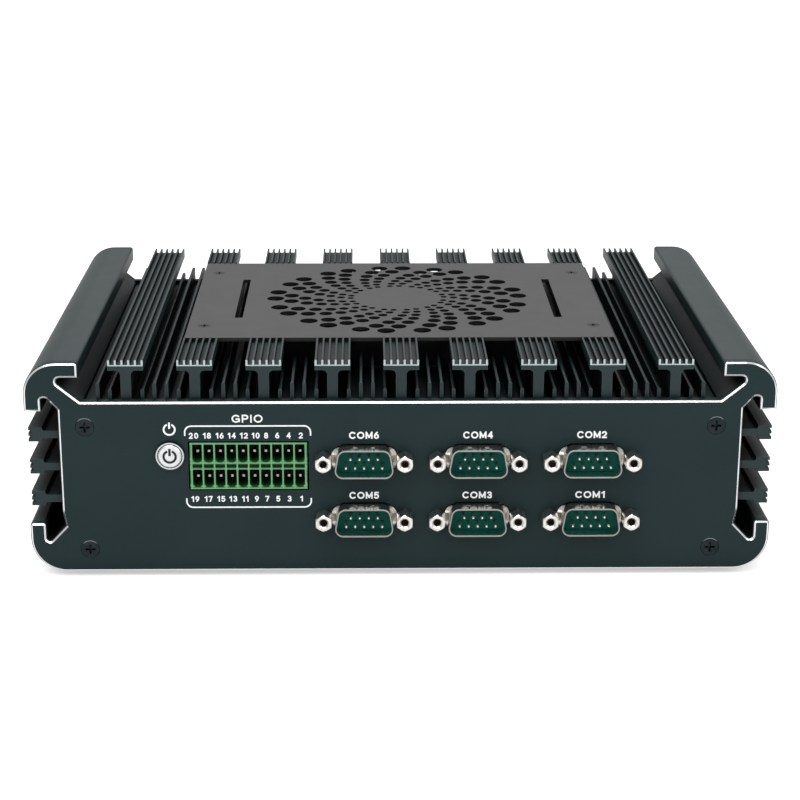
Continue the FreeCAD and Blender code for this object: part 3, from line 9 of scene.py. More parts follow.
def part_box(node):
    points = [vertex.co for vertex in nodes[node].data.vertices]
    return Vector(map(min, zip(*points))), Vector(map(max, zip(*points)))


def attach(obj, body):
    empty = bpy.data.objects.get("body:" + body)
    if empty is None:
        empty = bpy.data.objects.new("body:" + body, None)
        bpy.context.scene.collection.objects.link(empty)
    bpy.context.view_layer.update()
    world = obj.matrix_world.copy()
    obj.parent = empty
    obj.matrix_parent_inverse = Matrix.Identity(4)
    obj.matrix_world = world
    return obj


MM = 0.001

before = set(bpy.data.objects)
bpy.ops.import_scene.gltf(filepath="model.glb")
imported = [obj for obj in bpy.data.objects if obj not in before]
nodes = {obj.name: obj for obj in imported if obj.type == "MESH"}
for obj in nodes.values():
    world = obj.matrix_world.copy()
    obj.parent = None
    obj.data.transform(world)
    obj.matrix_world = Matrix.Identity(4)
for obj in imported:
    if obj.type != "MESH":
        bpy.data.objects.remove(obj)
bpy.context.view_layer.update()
scene = bpy.context.scene

# ---------------------------------------------------------------- places read from the frame

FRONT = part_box("front_panel")[0].y
PANEL_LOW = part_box("front_panel")[0].z


def middle(node):
    """Middle of a CAD node's box."""
    low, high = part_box(node)
    return (Vector(low) + Vector(high)) / 2


# ---------------------------------------------------------------- material helpers


class Nodes:
    """Short calls that add shader nodes to one material."""

    def __init__(self, name):
        self.material = bpy.data.materials.new(name)
        self.material.use_nodes = True
        self.tree = self.material.node_tree
        self.tree.nodes.clear()
        self.output = self.add("ShaderNodeOutputMaterial")
        self.shader = self.add("ShaderNodeBsdfPrincipled")
        self.link(self.shader.outputs[0], self.output.inputs[0])
        self.coordinates = self.add("ShaderNodeTexCoord")

    def add(self, kind, **settings):
        node = self.tree.nodes.new(kind)
        for key, value in settings.items():
            setattr(node, key, value)
        return node

    def link(self, source, target):
        self.tree.links.new(source, target)

    def set(self, **values):
        """Set plain values on the shader's own sockets."""
        for key, value in values.items():
            socket = self.shader.inputs[key.replace("_", " ")]
            if isinstance(value, tuple) and len(value) == 3:
                value = (*value, 1.0)
            socket.default_value = value

    def place(self, scale=(1.0, 1.0, 1.0)):
        """Object coordinates, stretched along the axes."""
        mapping = self.add("ShaderNodeMapping")
        mapping.inputs["Scale"].default_value = scale
        self.link(self.coordinates.outputs["Object"], mapping.inputs["Vector"])
        return mapping.outputs["Vector"]

    def axes(self):
        """Object coordinates, one socket for each axis."""
        split = self.add("ShaderNodeSeparateXYZ")
        self.link(self.coordinates.outputs["Object"], split.inputs["Vector"])
        return split.outputs

    def away(self, source, level):
        """Distance of a value from a level."""
        return self.math("ABSOLUTE", self.math("SUBTRACT", source, level), 0.0)

    def noise(self, size_mm, stretch=(1.0, 1.0, 1.0), detail=3.0, rough=0.5):
        """Noise whose grain is about size_mm across."""
        texture = self.add("ShaderNodeTexNoise")
        texture.inputs["Scale"].default_value = 1.0 / (size_mm * MM)
        texture.inputs["Detail"].default_value = detail
        texture.inputs["Roughness"].default_value = rough
        self.link(self.place(stretch), texture.inputs["Vector"])
        return texture.outputs["Fac"]

    def cells(self, size_mm, feature="F1", stretch=(1.0, 1.0, 1.0)):
        """Voronoi distance with cells about size_mm across."""
        texture = self.add("ShaderNodeTexVoronoi", feature=feature)
        texture.inputs["Scale"].default_value = 1.0 / (size_mm * MM)
        self.link(self.place(stretch), texture.inputs["Vector"])
        return texture.outputs["Distance"]

    def ramp(self, source, low, high, first=0.0, last=1.0):
        """Map a value from low..high to first..last, held outside."""
        node = self.add("ShaderNodeMapRange", clamp=True)
        self.link(source, node.inputs["Value"])
        node.inputs["From Min"].default_value = low
        node.inputs["From Max"].default_value = high
        node.inputs["To Min"].default_value = first
        node.inputs["To Max"].default_value = last
        return node.outputs["Result"]

    def math(self, operation, first, second):
        """Two-value maths; each side is a socket or a number."""
        node = self.add("ShaderNodeMath", operation=operation)
        for index, value in enumerate((first, second)):
            if isinstance(value, (int, float)):
                node.inputs[index].default_value = value
            else:
                self.link(value, node.inputs[index])
        return node.outputs[0]

    def colour(self, fac, first, second):
        """Mix two colours or colour sockets by a value."""
        node = self.add("ShaderNodeMix", data_type="RGBA")
        self.link(fac, node.inputs["Factor"])
        for name, value in (("A", first), ("B", second)):
            socket = next(s for s in node.inputs if s.name == name and s.type == "RGBA")
            if isinstance(value, tuple):
                socket.default_value = (*value, 1.0)
            else:
                self.link(value, socket)
        return next(s for s in node.outputs if s.type == "RGBA")

    def bump(self, height, strength, distance_mm, normal=None):
        """Bump from a height, laid over another normal if one is given."""
        node = self.add("ShaderNodeBump")
        node.inputs["Strength"].default_value = strength
        node.inputs["Distance"].default_value = distance_mm * MM
        self.link(height, node.inputs["Height"])
        if normal is not None:
            self.link(normal, node.inputs["Normal"])
        return node.outputs["Normal"]

    def soft_edges(self, radius_mm):
        """Normal that rounds hard edges a little."""
        node = self.add("ShaderNodeBevel", samples=4)
        node.inputs["Radius"].default_value = radius_mm * MM
        return node.outputs["Normal"]

    def edge_mask(self, radius_mm, low=0.02, high=0.25):
        """1 close to hard edges, 0 on flat faces."""
        node = self.add("ShaderNodeVectorMath", operation="DOT_PRODUCT")
        geometry = self.add("ShaderNodeNewGeometry")
        self.link(self.soft_edges(radius_mm), node.inputs[0])
        self.link(geometry.outputs["True Normal"], node.inputs[1])
        return self.ramp(self.math("SUBTRACT", 1.0, node.outputs["Value"]), low, high)

    def facing(self, axis):
        """How far the surface turns along an object axis, from -1 to 1."""
        geometry = self.add("ShaderNodeNewGeometry")
        turn = self.add("ShaderNodeVectorTransform", vector_type="NORMAL")
        turn.convert_from, turn.convert_to = "WORLD", "OBJECT"
        self.link(geometry.outputs["True Normal"], turn.inputs["Vector"])
        split = self.add("ShaderNodeSeparateXYZ")
        self.link(turn.outputs["Vector"], split.inputs["Vector"])
        return split.outputs[axis]

    def open_sky(self, reach_mm, low, high, local=False):
        """Mask for painted shade: 0 in recesses, 1 on open faces, judged over reach_mm."""
        node = self.add("ShaderNodeAmbientOcclusion", samples=6, only_local=local)
        node.inputs["Distance"].default_value = reach_mm * MM
        return self.ramp(node.outputs["AO"], low, high)

    def drive(self, socket, source):
        self.link(source, self.shader.inputs[socket])


SCREW_HEAD = 2.8 * MM
SINK_REACH = 3.7 * MM
BRIGHT_WIDTH = 0.42 * MM
LINE_FADE = 0.08 * MM
# Strength of the painted bounce glow on chamfers facing down.
PAINTED_BOUNCE_GLOW = 0.42


def clear_of_screws(n, axes):
    """0 round the corner screws of a panel, 1 elsewhere."""
    low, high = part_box("front_panel_screws")
    across = n.away(n.math("ABSOLUTE", axes["X"], 0.0), high[0] - SCREW_HEAD)
    upper = n.away(axes["Z"], high[2] - SCREW_HEAD)
    lower = n.away(axes["Z"], low[2] + SCREW_HEAD)
    reach = n.math("MAXIMUM", across, n.math("MINIMUM", upper, lower))
    return n.ramp(reach, SINK_REACH, SINK_REACH + 0.1 * MM)


def anodised(name, bright_chamfers=False, grain_along=None, edge_wear_and_sheen=0.35, sawn_and_lit_ends=None, shine=0.18):
    """Blasted black-green anodising with painted shade in recesses; cut chamfers show bare metal, edges pale
    from wear and painted highlight, the fins' cut ends show bare metal with a painted highlight, chamfers
    facing down glow as painted bounce light, countersinks painted near-black as shade.
    """
    n = Nodes(name)
    axes = n.axes()
    cloud = n.noise(26.0, detail=4.0)
    speck = n.noise(0.35, detail=2.0, rough=0.7)
    tone = n.colour(n.ramp(cloud, 0.3, 0.7), (0.006, 0.018, 0.0195), (0.009, 0.022, 0.0235))
    tone = n.colour(n.ramp(speck, 0.35, 0.75, 0.0, 0.5), tone, (0.014, 0.027, 0.029))
    rough = n.ramp(n.noise(9.0), 0.3, 0.7, 0.41, 0.44)
    height = n.ramp(speck, 0.2, 0.8)
    if grain_along is not None:
        stretch = [1.0, 1.0, 1.0]
        stretch["XYZ".index(grain_along)] = 0.006
        lines = n.noise(0.28, tuple(stretch), detail=2.0, rough=0.6)
        height = n.math("ADD", height, n.math("MULTIPLY", lines, 1.4))
        tone = n.colour(n.ramp(lines, 0.35, 0.75, 0.0, 0.35), tone, (0.030, 0.040, 0.042))
    # Edges paler: partly wear to bare metal, partly painted highlight.
    edges = n.edge_mask(0.16)
    worn_and_lit_edges = n.math("MULTIPLY", edges, n.ramp(n.noise(3.0), 0.25, 0.75, edge_wear_and_sheen * 0.3, edge_wear_and_sheen))
    tone = n.colour(worn_and_lit_edges, tone, (0.22, 0.28, 0.28))
    # Painted highlight with bare metal: a pale band along the top front ends of the fins.
    if sawn_and_lit_ends is not None:
        front, level = sawn_and_lit_ends
        near = n.ramp(axes["Y"], front + 0.35 * MM, front + 0.2 * MM)
        high = n.ramp(axes["Z"], level - 0.35 * MM, level - 0.25 * MM)
        tone = n.colour(n.math("MULTIPLY", near, high), tone, (0.42, 0.50, 0.50))
    # Painted shade: recesses darkened in colour and in specular level by ambient occlusion.
    shade = n.open_sky(14.0, 0.2, 0.75)
    tone = n.colour(shade, (0.002, 0.004, 0.005), tone)
    if bright_chamfers:
        turn = n.math("ABSOLUTE", n.facing("Y"), 0.0)
        cut = n.math("MULTIPLY", n.ramp(turn, 0.5, 0.6), n.ramp(turn, 0.9, 0.8))
        # Chamfers facing down glow as painted bounce light from the floor.
        bounce_glow_mask = n.math("MULTIPLY", cut, n.ramp(n.facing("Z"), -0.45, -0.6))
        clear = clear_of_screws(n, axes)
        # Painted shade: countersinks round the screws made near-black.
        countersink_shade = n.math("MULTIPLY", cut, n.math("SUBTRACT", 1.0, clear))
        tone = n.colour(countersink_shade, tone, (0.001, 0.001, 0.001))
        outward = n.math("ABSOLUTE", axes["Y"], 0.0)
        outer = n.ramp(outward, -FRONT - BRIGHT_WIDTH - LINE_FADE, -FRONT - BRIGHT_WIDTH)
        cut = n.math("MULTIPLY", cut, n.math("MULTIPLY", clear, outer))
        n.set(Emission_Color=(0.80, 0.84, 0.86))
        n.drive("Emission Strength", n.math("MULTIPLY", bounce_glow_mask, PAINTED_BOUNCE_GLOW))
        scratch = n.noise(0.12, (1.0, 0.05, 1.0), detail=2.0)
        silver = n.colour(n.ramp(scratch, 0.3, 0.7), (0.86, 0.88, 0.88), (0.95, 0.96, 0.96))
        tone = n.colour(cut, tone, silver)
        n.drive("Metallic", n.ramp(cut, 0.0, 1.0, 0.0, 1.0))
        rough = n.math("MULTIPLY", rough, n.ramp(cut, 0.0, 1.0, 1.0, 0.55))
    n.drive("Base Color", tone)
    n.drive("Roughness", rough)
    n.drive("Specular IOR Level", n.ramp(shade, 0.0, 1.0, shine * 0.2, shine))
    n.drive("Normal", n.bump(height, 0.12, 0.03, n.soft_edges(0.12)))
    return n.material


def coated(
    name, low, high, rough=(0.42, 0.55), grain_mm=0.3, depth_mm=0.02, strength=0.15, shine=0.5, wall_shade=None
):
    """Painted, coated or moulded surface with fine grain; wall_shade, if given, is painted shade on upright
    faces.
    """
    n = Nodes(name)
    tone = n.colour(n.ramp(n.noise(11.0, detail=4.0), 0.3, 0.7), low, high)
    # Painted shade: upright faces turned dark.
    if wall_shade is not None:
        tone = n.colour(n.ramp(n.math("ABSOLUTE", n.facing("Z"), 0.0), 0.4, 0.6), wall_shade, tone)
    n.drive("Base Color", tone)
    n.drive("Roughness", n.ramp(n.noise(5.0), 0.3, 0.7, *rough))
    n.set(Specular_IOR_Level=shine)
    n.drive("Normal", n.bump(n.noise(grain_mm, detail=2.0), strength, depth_mm, n.soft_edges(0.1)))
    return n.material


def metal(
    name, low, high, rough=(0.2, 0.32), lines=None, line_mm=0.12, strength=0.08, hollow_shade=None, rim_shade=None
):
    """Metal with faint tool lines; hollow_shade is painted shade in deep recesses, rim_shade painted shade on
    faces along Y.
    """
    n = Nodes(name)
    stretch = (1.0, 1.0, 1.0) if lines is None else tuple(0.02 if axis == lines else 1.0 for axis in "XYZ")
    grain = n.noise(line_mm, stretch, detail=3.0, rough=0.6)
    tone = n.colour(n.ramp(n.noise(2.4, detail=4.0), 0.3, 0.7), low, high)
    tone = n.colour(n.ramp(grain, 0.4, 0.8, 0.0, 0.3), tone, low)
    # Painted shade on faces turned along Y.
    if rim_shade is not None:
        tone = n.colour(n.ramp(n.math("ABSOLUTE", n.facing("Y"), 0.0), 0.9, 0.97), tone, rim_shade)
    # Painted shade in deep recesses.
    if hollow_shade is not None:
        tone = n.colour(n.open_sky(3.0, 0.15, 0.5, local=True), hollow_shade, tone)
    n.drive("Base Color", tone)
    n.drive("Roughness", n.ramp(grain, 0.3, 0.7, *rough))
    n.set(Metallic=1.0)
    n.drive("Normal", n.bump(grain, strength, 0.01, n.soft_edges(0.08)))
    return n.material


def circuit_board(name):
    """Green board: solder resist, traces under it, dots of bare pads."""
    n = Nodes(name)
    traces = n.ramp(n.cells(2.6, "DISTANCE_TO_EDGE"), 0.06, 0.09)
    tone = n.colour(traces, (0.02, 0.16, 0.06), (0.008, 0.075, 0.028))
    pads = n.ramp(n.cells(3.4), 0.09, 0.12)
    tone = n.colour(pads, (0.62, 0.52, 0.3), tone)
    n.drive("Base Color", tone)
    n.drive("Metallic", n.ramp(pads, 0.0, 1.0, 0.9, 0.0))
    n.drive("Roughness", n.ramp(n.noise(6.0), 0.3, 0.7, 0.28, 0.38))
    n.drive("Normal", n.bump(traces, 0.3, 0.03))
    return n.material


def winding(name):
    """Copper wire wound in close turns."""
    n = Nodes(name)
    turns = n.noise(0.5, (0.1, 0.1, 1.0), detail=1.0)
    n.drive("Base Color", n.colour(n.ramp(turns, 0.35, 0.65), (0.35, 0.11, 0.04), (0.72, 0.3, 0.13)))
    n.drive("Roughness", n.ramp(turns, 0.3, 0.7, 0.45, 0.25))
    n.set(Metallic=0.9)
    n.drive("Normal", n.bump(turns, 0.6, 0.1))
    return n.material


# ---------------------------------------------------------------- materials on the CAD nodes

case_panel = anodised("anodised_panel", bright_chamfers=True)
case_rail = anodised("anodised_rail", grain_along="Y", edge_wear_and_sheen=0.3, shine=0.32)
cut_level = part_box("fan_cover")[0][2]
# Fin ends: bare metal with a painted highlight at the top front edge.
sawn_and_lit_edge = (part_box("top_heatsink")[0][1], cut_level)
case_fins = anodised("anodised_fins", grain_along="Y", edge_wear_and_sheen=0.75, sawn_and_lit_ends=sawn_and_lit_edge, shine=0.32)
# Upright faces of the covers, hole linings included, painted near-black as shade.
cover_coat = coated(
    "cover_coat",
    (0.022, 0.024, 0.023),
    (0.028, 0.030, 0.028),
    (0.42, 0.44),
    0.22,
    0.015,
    wall_shade=(0.003, 0.003, 0.003),
)
# Recesses of these screws, shells and turned parts carry painted shade.
black_screw = metal(
    "black_screw", (0.018, 0.026, 0.029), (0.031, 0.041, 0.045), (0.3, 0.42), hollow_shade=(0.003, 0.004, 0.004)
)
zinc = metal("zinc_steel", (0.50, 0.50, 0.50), (0.66, 0.66, 0.65), (0.28, 0.4))
rubber = coated("rubber", (0.012, 0.012, 0.012), (0.022, 0.022, 0.021), (0.75, 0.9), 0.5, 0.05, 0.3)
black_plastic = coated(
    "black_plastic", (0.005, 0.005, 0.006), (0.009, 0.009, 0.010), (0.45, 0.6), 0.4, 0.03, 0.25, 0.15
)
magnet = metal("magnet", (0.05, 0.045, 0.042), (0.09, 0.085, 0.08), (0.5, 0.65), line_mm=0.5)
bronze = metal("bronze", (0.34, 0.21, 0.1), (0.5, 0.34, 0.18), (0.35, 0.5), line_mm=0.3)
# Shell faces along Y painted darker as shade.
nickel = metal(
    "nickel_shell",
    (0.66, 0.63, 0.59),
    (0.84, 0.82, 0.78),
    (0.16, 0.26),
    lines="X",
    hollow_shade=(0.10, 0.08, 0.07),
    rim_shade=(0.33, 0.33, 0.31),
)
jack_nickel = metal(
    "nickel_turned", (0.74, 0.71, 0.68), (0.90, 0.88, 0.85), (0.22, 0.32), hollow_shade=(0.06, 0.045, 0.035)
)
teal = coated("teal_plastic", (0.0, 0.064, 0.050), (0.001, 0.086, 0.067), (0.3, 0.4), 0.8, 0.03, 0.15, 0.1)
blue = coated("blue_plastic", (0.012, 0.05, 0.32), (0.02, 0.07, 0.42), (0.3, 0.42), 0.8, 0.03, 0.15)
gold = metal("contact_plating", (0.80, 0.75, 0.62), (0.92, 0.88, 0.78), (0.18, 0.28))
bare_aluminium = metal(
    "milled_aluminium", (0.62, 0.63, 0.64), (0.8, 0.8, 0.81), (0.3, 0.42), lines="X", line_mm=0.4
)
button_steel = metal("button_steel", (0.68, 0.69, 0.70), (0.81, 0.82, 0.83), (0.26, 0.36), line_mm=0.2)
pad_grey = coated("thermal_pad", (0.3, 0.36, 0.42), (0.36, 0.43, 0.49), (0.7, 0.85), 0.6, 0.08, 0.4)
chip_black = coated("chip_black", (0.012, 0.014, 0.013), (0.02, 0.023, 0.021), (0.35, 0.5), 0.2, 0.01, 0.2)
board_green = circuit_board("circuit_board")
copper = winding("copper_winding")


HEADER_END_WALL = 0.5 * MM
HEADER_PITCH = 3.5 * MM
ROW_GAP_HALF = 1.05 * MM
OUTER_LINE = 0.15 * MM
CELL_MIDDLES = 100.5


def header_green():
    """Green header plastic: painted highlight lines along the cell partitions, painted shade deep inside the
    cells.
    """
    n = Nodes("header_green")
    axes = n.axes()
    low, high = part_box("gpio_header_body")
    # Painted highlight: pale lines on the front face along the cell partitions, the cell notches and the row
    # edges.
    turns = n.math("DIVIDE", n.math("SUBTRACT", axes["X"], low[0] + HEADER_END_WALL), HEADER_PITCH)
    offset = n.math("SUBTRACT", n.math("FRACT", n.math("ADD", turns, CELL_MIDDLES), 0.0), 0.5)
    centre, half = (low[2] + high[2]) / 2, (high[2] - low[2]) / 2
    rise = n.math("MINIMUM", n.away(axes["Z"], centre + ROW_GAP_HALF), n.away(axes["Z"], low[2]))
    spread = n.ramp(rise, 1.9 * MM, 1.0 * MM, 0.0, 0.2)
    notch = n.math("MULTIPLY", spread, n.ramp(rise, 0.75 * MM, 0.9 * MM))
    lines = n.ramp(n.math("SUBTRACT", n.math("ABSOLUTE", offset, 0.0), notch), 0.05, 0.10, 1.0, 0.0)
    reach = n.away(axes["Z"], centre)
    for level in (half - OUTER_LINE, ROW_GAP_HALF):
        lines = n.math("MAXIMUM", lines, n.ramp(n.away(reach, level), 0.18 * MM, 0.34 * MM, 1.0, 0.0))
    front = n.ramp(axes["Y"], low[1] + 0.15 * MM, low[1] + 0.4 * MM, 1.0, 0.0)
    # Painted shade: darker deeper in the cells, less so on floors that face up.
    depth = n.ramp(axes["Y"], low[1] + 0.5 * MM, low[1] + 3.5 * MM)
    pale = n.colour(n.ramp(n.noise(3.0), 0.3, 0.7), (0.10, 0.30, 0.12), (0.13, 0.35, 0.15))
    lit_floor = n.ramp(n.facing("Z"), 0.3, 0.7, 1.0, 0.35)
    tone = n.colour(n.math("MULTIPLY", depth, lit_floor), (0.022, 0.12, 0.03), (0.002, 0.014, 0.004))
    n.drive("Base Color", n.colour(n.math("MULTIPLY", lines, front), tone, pale))
    n.drive("Roughness", n.ramp(n.noise(2.0), 0.3, 0.7, 0.35, 0.48))
    n.drive("Normal", n.bump(n.noise(0.4), 0.15, 0.02, n.soft_edges(0.12)))
    return n.material


def ringed_steel():
    """Turned button surround: bright crown between a lip and an outer edge painted dark as shade."""
    n = Nodes("ringed_steel")
    axes = n.axes()
    low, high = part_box("power_button_bezel")
    across = n.math("SUBTRACT", axes["X"], (low[0] + high[0]) / 2)
    rise = n.math("SUBTRACT", axes["Z"], (low[2] + high[2]) / 2)
    square = n.math("ADD", n.math("MULTIPLY", across, across), n.math("MULTIPLY", rise, rise))
    share = n.math("DIVIDE", n.math("SQRT", square, 0.0), (high[0] - low[0]) / 2)
    # Lip and outer edge painted dark as shade outside the crown.
    crown = n.math("MULTIPLY", n.ramp(share, 0.85, 0.89), n.ramp(share, 0.97, 0.94))
    turned = n.colour(n.ramp(n.noise(0.2), 0.3, 0.7), (0.62, 0.64, 0.66), (0.74, 0.76, 0.78))
    n.drive("Base Color", n.colour(crown, (0.07, 0.075, 0.08), turned))
    n.drive("Roughness", n.ramp(n.noise(0.6), 0.3, 0.7, 0.24, 0.34))
    n.set(Metallic=1.0)
    n.drive("Normal", n.bump(n.noise(0.2), 0.08, 0.01, n.soft_edges(0.08)))
    return n.material


def header_contact():
    """Tinned contact in a deep cell: flanks painted dark as shade, bright end."""
    n = Nodes("header_contact")
    end = n.ramp(n.math("ABSOLUTE", n.facing("Y"), 0.0), 0.8, 0.95)
    # Flanks painted dark as shade of the deep cell.
    shaded_sides = n.colour(n.ramp(n.noise(0.8), 0.3, 0.7), (0.10, 0.09, 0.07), (0.16, 0.15, 0.12))
    n.drive("Base Color", n.colour(end, shaded_sides, (0.52, 0.51, 0.47)))
    n.drive("Roughness", n.ramp(n.noise(1.2), 0.3, 0.7, 0.3, 0.45))
    n.set(Metallic=0.9)
    return n.material


FINISHES = {
    case_panel: ["front_panel", "rear_panel"],
    case_rail: ["left_side_rail", "right_side_rail"],
    case_fins: ["top_heatsink"],
    cover_coat: ["fan_cover", "bottom_cover"],
    black_screw: ["fan_cover_screws", "front_panel_screws", "rear_panel_screws", "bottom_cover_screws"],
    zinc: ["fan_screws", "board_screws", "fan_shaft", "storage_drive", "drive_tray"],
    rubber: ["rubber_feet", "antenna_plugs"],
    black_plastic: [
        "fan_frame", "fan_rotor", "dc_jack", "coin_cell_holder", "memory_socket", "power_button_switch",
        "board_link_connector",
    ],
    magnet: ["fan_magnet_ring"],
    bronze: ["fan_bearing", "board_standoffs"],
    copper: ["fan_stator"],
    nickel: [f"com_port_{k}_shell" for k in range(1, 7)]
    + ["vga_port_shell", "hdmi_port", "usb_ports", "ethernet_ports", "coin_cell"],
    jack_nickel: ["com_jackscrews", "vga_jackscrews", "power_button_nut"],
    teal: ["com_insulators"],
    blue: ["vga_port_insert"],
    header_green(): ["gpio_header_body"],
    gold: ["com_pins"],
    header_contact(): ["gpio_header_pins"],
    button_steel: ["power_button_cap"],
    ringed_steel(): ["power_button_bezel"],
    board_green: ["serial_board_pcb", "mainboard_pcb"],
    bare_aluminium: ["heat_spreader_block", "board_capacitors"],
    pad_grey: ["thermal_pad"],
    chip_black: ["cpu_package", "memory_module", "ssd_module", "board_inductors"],
}


def finish_node(name, material):
    """Put one material on every slot of a CAD node."""
    mesh = nodes[name].data
    if not mesh.materials:
        mesh.materials.append(material)
    for index in range(len(mesh.materials)):
        mesh.materials[index] = material


for material, names in FINISHES.items():
    for name in names:
        finish_node(name, material)

# ---------------------------------------------------------------- printed marks

INK_DEPTH = 0.05 * MM


def printed(name, low, high):
    """Screen-printed ink: slightly uneven cover and roughness."""
    n = Nodes(name)
    n.drive("Base Color", n.colour(n.ramp(n.noise(0.6), 0.3, 0.7), low, high))
    n.drive("Roughness", n.ramp(n.noise(1.5), 0.3, 0.7, 0.5, 0.62))
    n.set(Specular_IOR_Level=0.3)
    return n.material


ink = printed("white_ink", (0.80, 0.82, 0.82), (0.88, 0.90, 0.90))
dark_ink = printed("dark_infill", (0.010, 0.010, 0.011), (0.016, 0.016, 0.017))


def bow(x, z, width, height, start, end, steps=18):
    """Points on an elliptic arc, angles in degrees."""
    points = []
    for k in range(steps + 1):
        angle = math.radians(start + (end - start) * k / steps)
        points.append((x + width * math.cos(angle), z + height * math.sin(angle)))
    return points


# Each letter: its width and the middle lines of its strokes, in a cell one unit high.
LETTERS = {
    "C": (0.82, [bow(0.44, 0.5, 0.44, 0.5, 45, 315)]),
    "O": (0.94, [bow(0.47, 0.5, 0.47, 0.5, 0, 360)]),
    "M": (
        0.86,
        [[(0, 0), (0, 1)], [(0, 1), (0.43, 0.15)], [(0.43, 0.15), (0.86, 1)], [(0.86, 1), (0.86, 0)]],
    ),
    "G": (
        0.86,
        [bow(0.46, 0.5, 0.46, 0.5, 45, 325), [(0.86, 0.1), (0.86, 0.45)], [(0.86, 0.45), (0.5, 0.45)]],
    ),
    "P": (0.64, [[(0, 0), (0, 1)], [(0, 1), (0.36, 1)] + bow(0.37, 0.73, 0.27, 0.27, 90, -90) + [(0, 0.46)]]),
    "I": (0.0, [[(0, 0), (0, 1)]]),
    "0": (0.58, [bow(0.29, 0.5, 0.29, 0.5, 0, 360)]),
    "1": (0.3, [[(0, 0.78), (0.3, 1)], [(0.3, 1), (0.3, 0)]]),
    "2": (0.58, [bow(0.29, 0.7, 0.28, 0.3, 165, -35), [(0.52, 0.53), (0.02, 0)], [(0.02, 0), (0.58, 0)]]),
    "3": (0.56, [bow(0.27, 0.75, 0.25, 0.25, 150, -90), bow(0.27, 0.26, 0.29, 0.26, 90, -150)]),
    "4": (0.62, [[(0.46, 0), (0.46, 1)], [(0.46, 1), (0, 0.3)], [(0, 0.3), (0.62, 0.3)]]),
    "5": (0.58, [[(0.54, 1), (0.1, 1)], [(0.1, 1), (0.04, 0.52)], bow(0.28, 0.32, 0.3, 0.32, 130, -145)]),
    "6": (0.58, [bow(0.29, 0.31, 0.29, 0.31, 0, 360), [(0.03, 0.42), (0.14, 0.74), (0.4, 1.0)]]),
    "7": (0.58, [[(0, 1), (0.58, 1)], [(0.58, 1), (0.2, 0)]]),
    "8": (0.58, [bow(0.29, 0.75, 0.24, 0.25, 0, 360), bow(0.29, 0.26, 0.29, 0.26, 0, 360)]),
    "9": (0.58, [bow(0.29, 0.69, 0.29, 0.31, 0, 360), [(0.55, 0.58), (0.44, 0.26), (0.18, 0.0)]]),
}


def ribbon(mesh, path, stroke, y, depth):
    """Flat line of even width along points (x, z), its ends drawn out by half the stroke."""
    spots = [Vector(point) for point in path]
    closed = (spots[0] - spots[-1]).length < stroke * 0.01
    if closed:
        spots.pop()
    else:
        spots[0] += (spots[0] - spots[1]).normalized() * stroke * 0.45
        spots[-1] += (spots[-1] - spots[-2]).normalized() * stroke * 0.45
    count = len(spots)
    rings = []
    for index, spot in enumerate(spots):
        before = spots[index - 1] if index or closed else spot
        after = spots[(index + 1) % count] if index < count - 1 or closed else spot
        along = (after - before).normalized()
        across = Vector((-along.y, along.x)) * stroke / 2
        corners = ((spot + across, 0), (spot - across, 0), (spot - across, depth), (spot + across, depth))
        rings.append([mesh.verts.new((p.x, y + shift, p.y)) for p, shift in corners])
    for index in range(count if closed else count - 1):
        a, b = rings[index], rings[(index + 1) % count]
        for side in range(4):
            mesh.faces.new((a[side], a[(side + 1) % 4], b[(side + 1) % 4], b[side]))
    if not closed:
        mesh.faces.new(list(reversed(rings[0])))
        mesh.faces.new(rings[-1])


def print_lines(name, paths, stroke, y=FRONT - INK_DEPTH, body="case", material=ink):
    """One printed mark made of several lines, all in metres."""
    mesh = bmesh.new()
    for layer, path in enumerate(paths):
        ribbon(mesh, path, stroke, y - layer * 0.001 * MM, INK_DEPTH)
    bmesh.ops.recalc_face_normals(mesh, faces=mesh.faces)
    data = bpy.data.meshes.new(name)
    mesh.to_mesh(data)
    mesh.free()
    data.materials.append(material)
    piece = bpy.data.objects.new(name, data)
    scene.collection.objects.link(piece)
    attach(piece, body)


def print_text(name, text, x, z, height, width, stroke, gap=0.36):
    """Lettering on the front panel, centred at x, z; all sizes in millimetres, strokes included."""
    cell = height - stroke
    total = sum(LETTERS[letter][0] for letter in text) + gap * (len(text) - 1)
    across = (width - stroke) / total if width else cell
    left, low = x - total * across / 2, z - cell / 2
    paths = []
    for letter in text:
        wide, lines = LETTERS[letter]
        for line in lines:
            paths.append([((left + u * across) * MM, PANEL_LOW + (low + v * cell) * MM) for u, v in line])
        left += (wide + gap) * across
    print_lines(name, paths, stroke * MM)


def power_mark(x, z, radius):
    """Lines of an open ring with a bar in its gap."""
    return [bow(x, z, radius, radius, 122, 418, 40), [(x, z + radius * 1.2), (x, z + radius * 0.3)]]


def bracket(name, left, right, level, tip, corner):
    """Bracket line: a long bar whose ends turn towards the header with round corners."""
    side = 1 if tip > level else -1
    path = [(left, tip)]
    path += bow(left + corner, level + side * corner, corner, corner, 180, 180 + side * 90, 8)
    path += bow(right - corner, level + side * corner, corner, corner, side * -90, 0, 8)
    path.append((right, tip))
    print_lines(name, [path], 0.45 * MM)


def port_labels():
    """Port names over the six serial ports."""
    for number in range(1, 7):
        place = middle(f"com_port_{number}_shell")
        lift = 7.66 if number % 2 == 0 else 7.16
        z = (place.z - PANEL_LOW) / MM + lift
        print_text(f"label_com_{number}", f"COM{number}", place.x / MM, z, 2.3, 9.2, 0.48, 0.42)


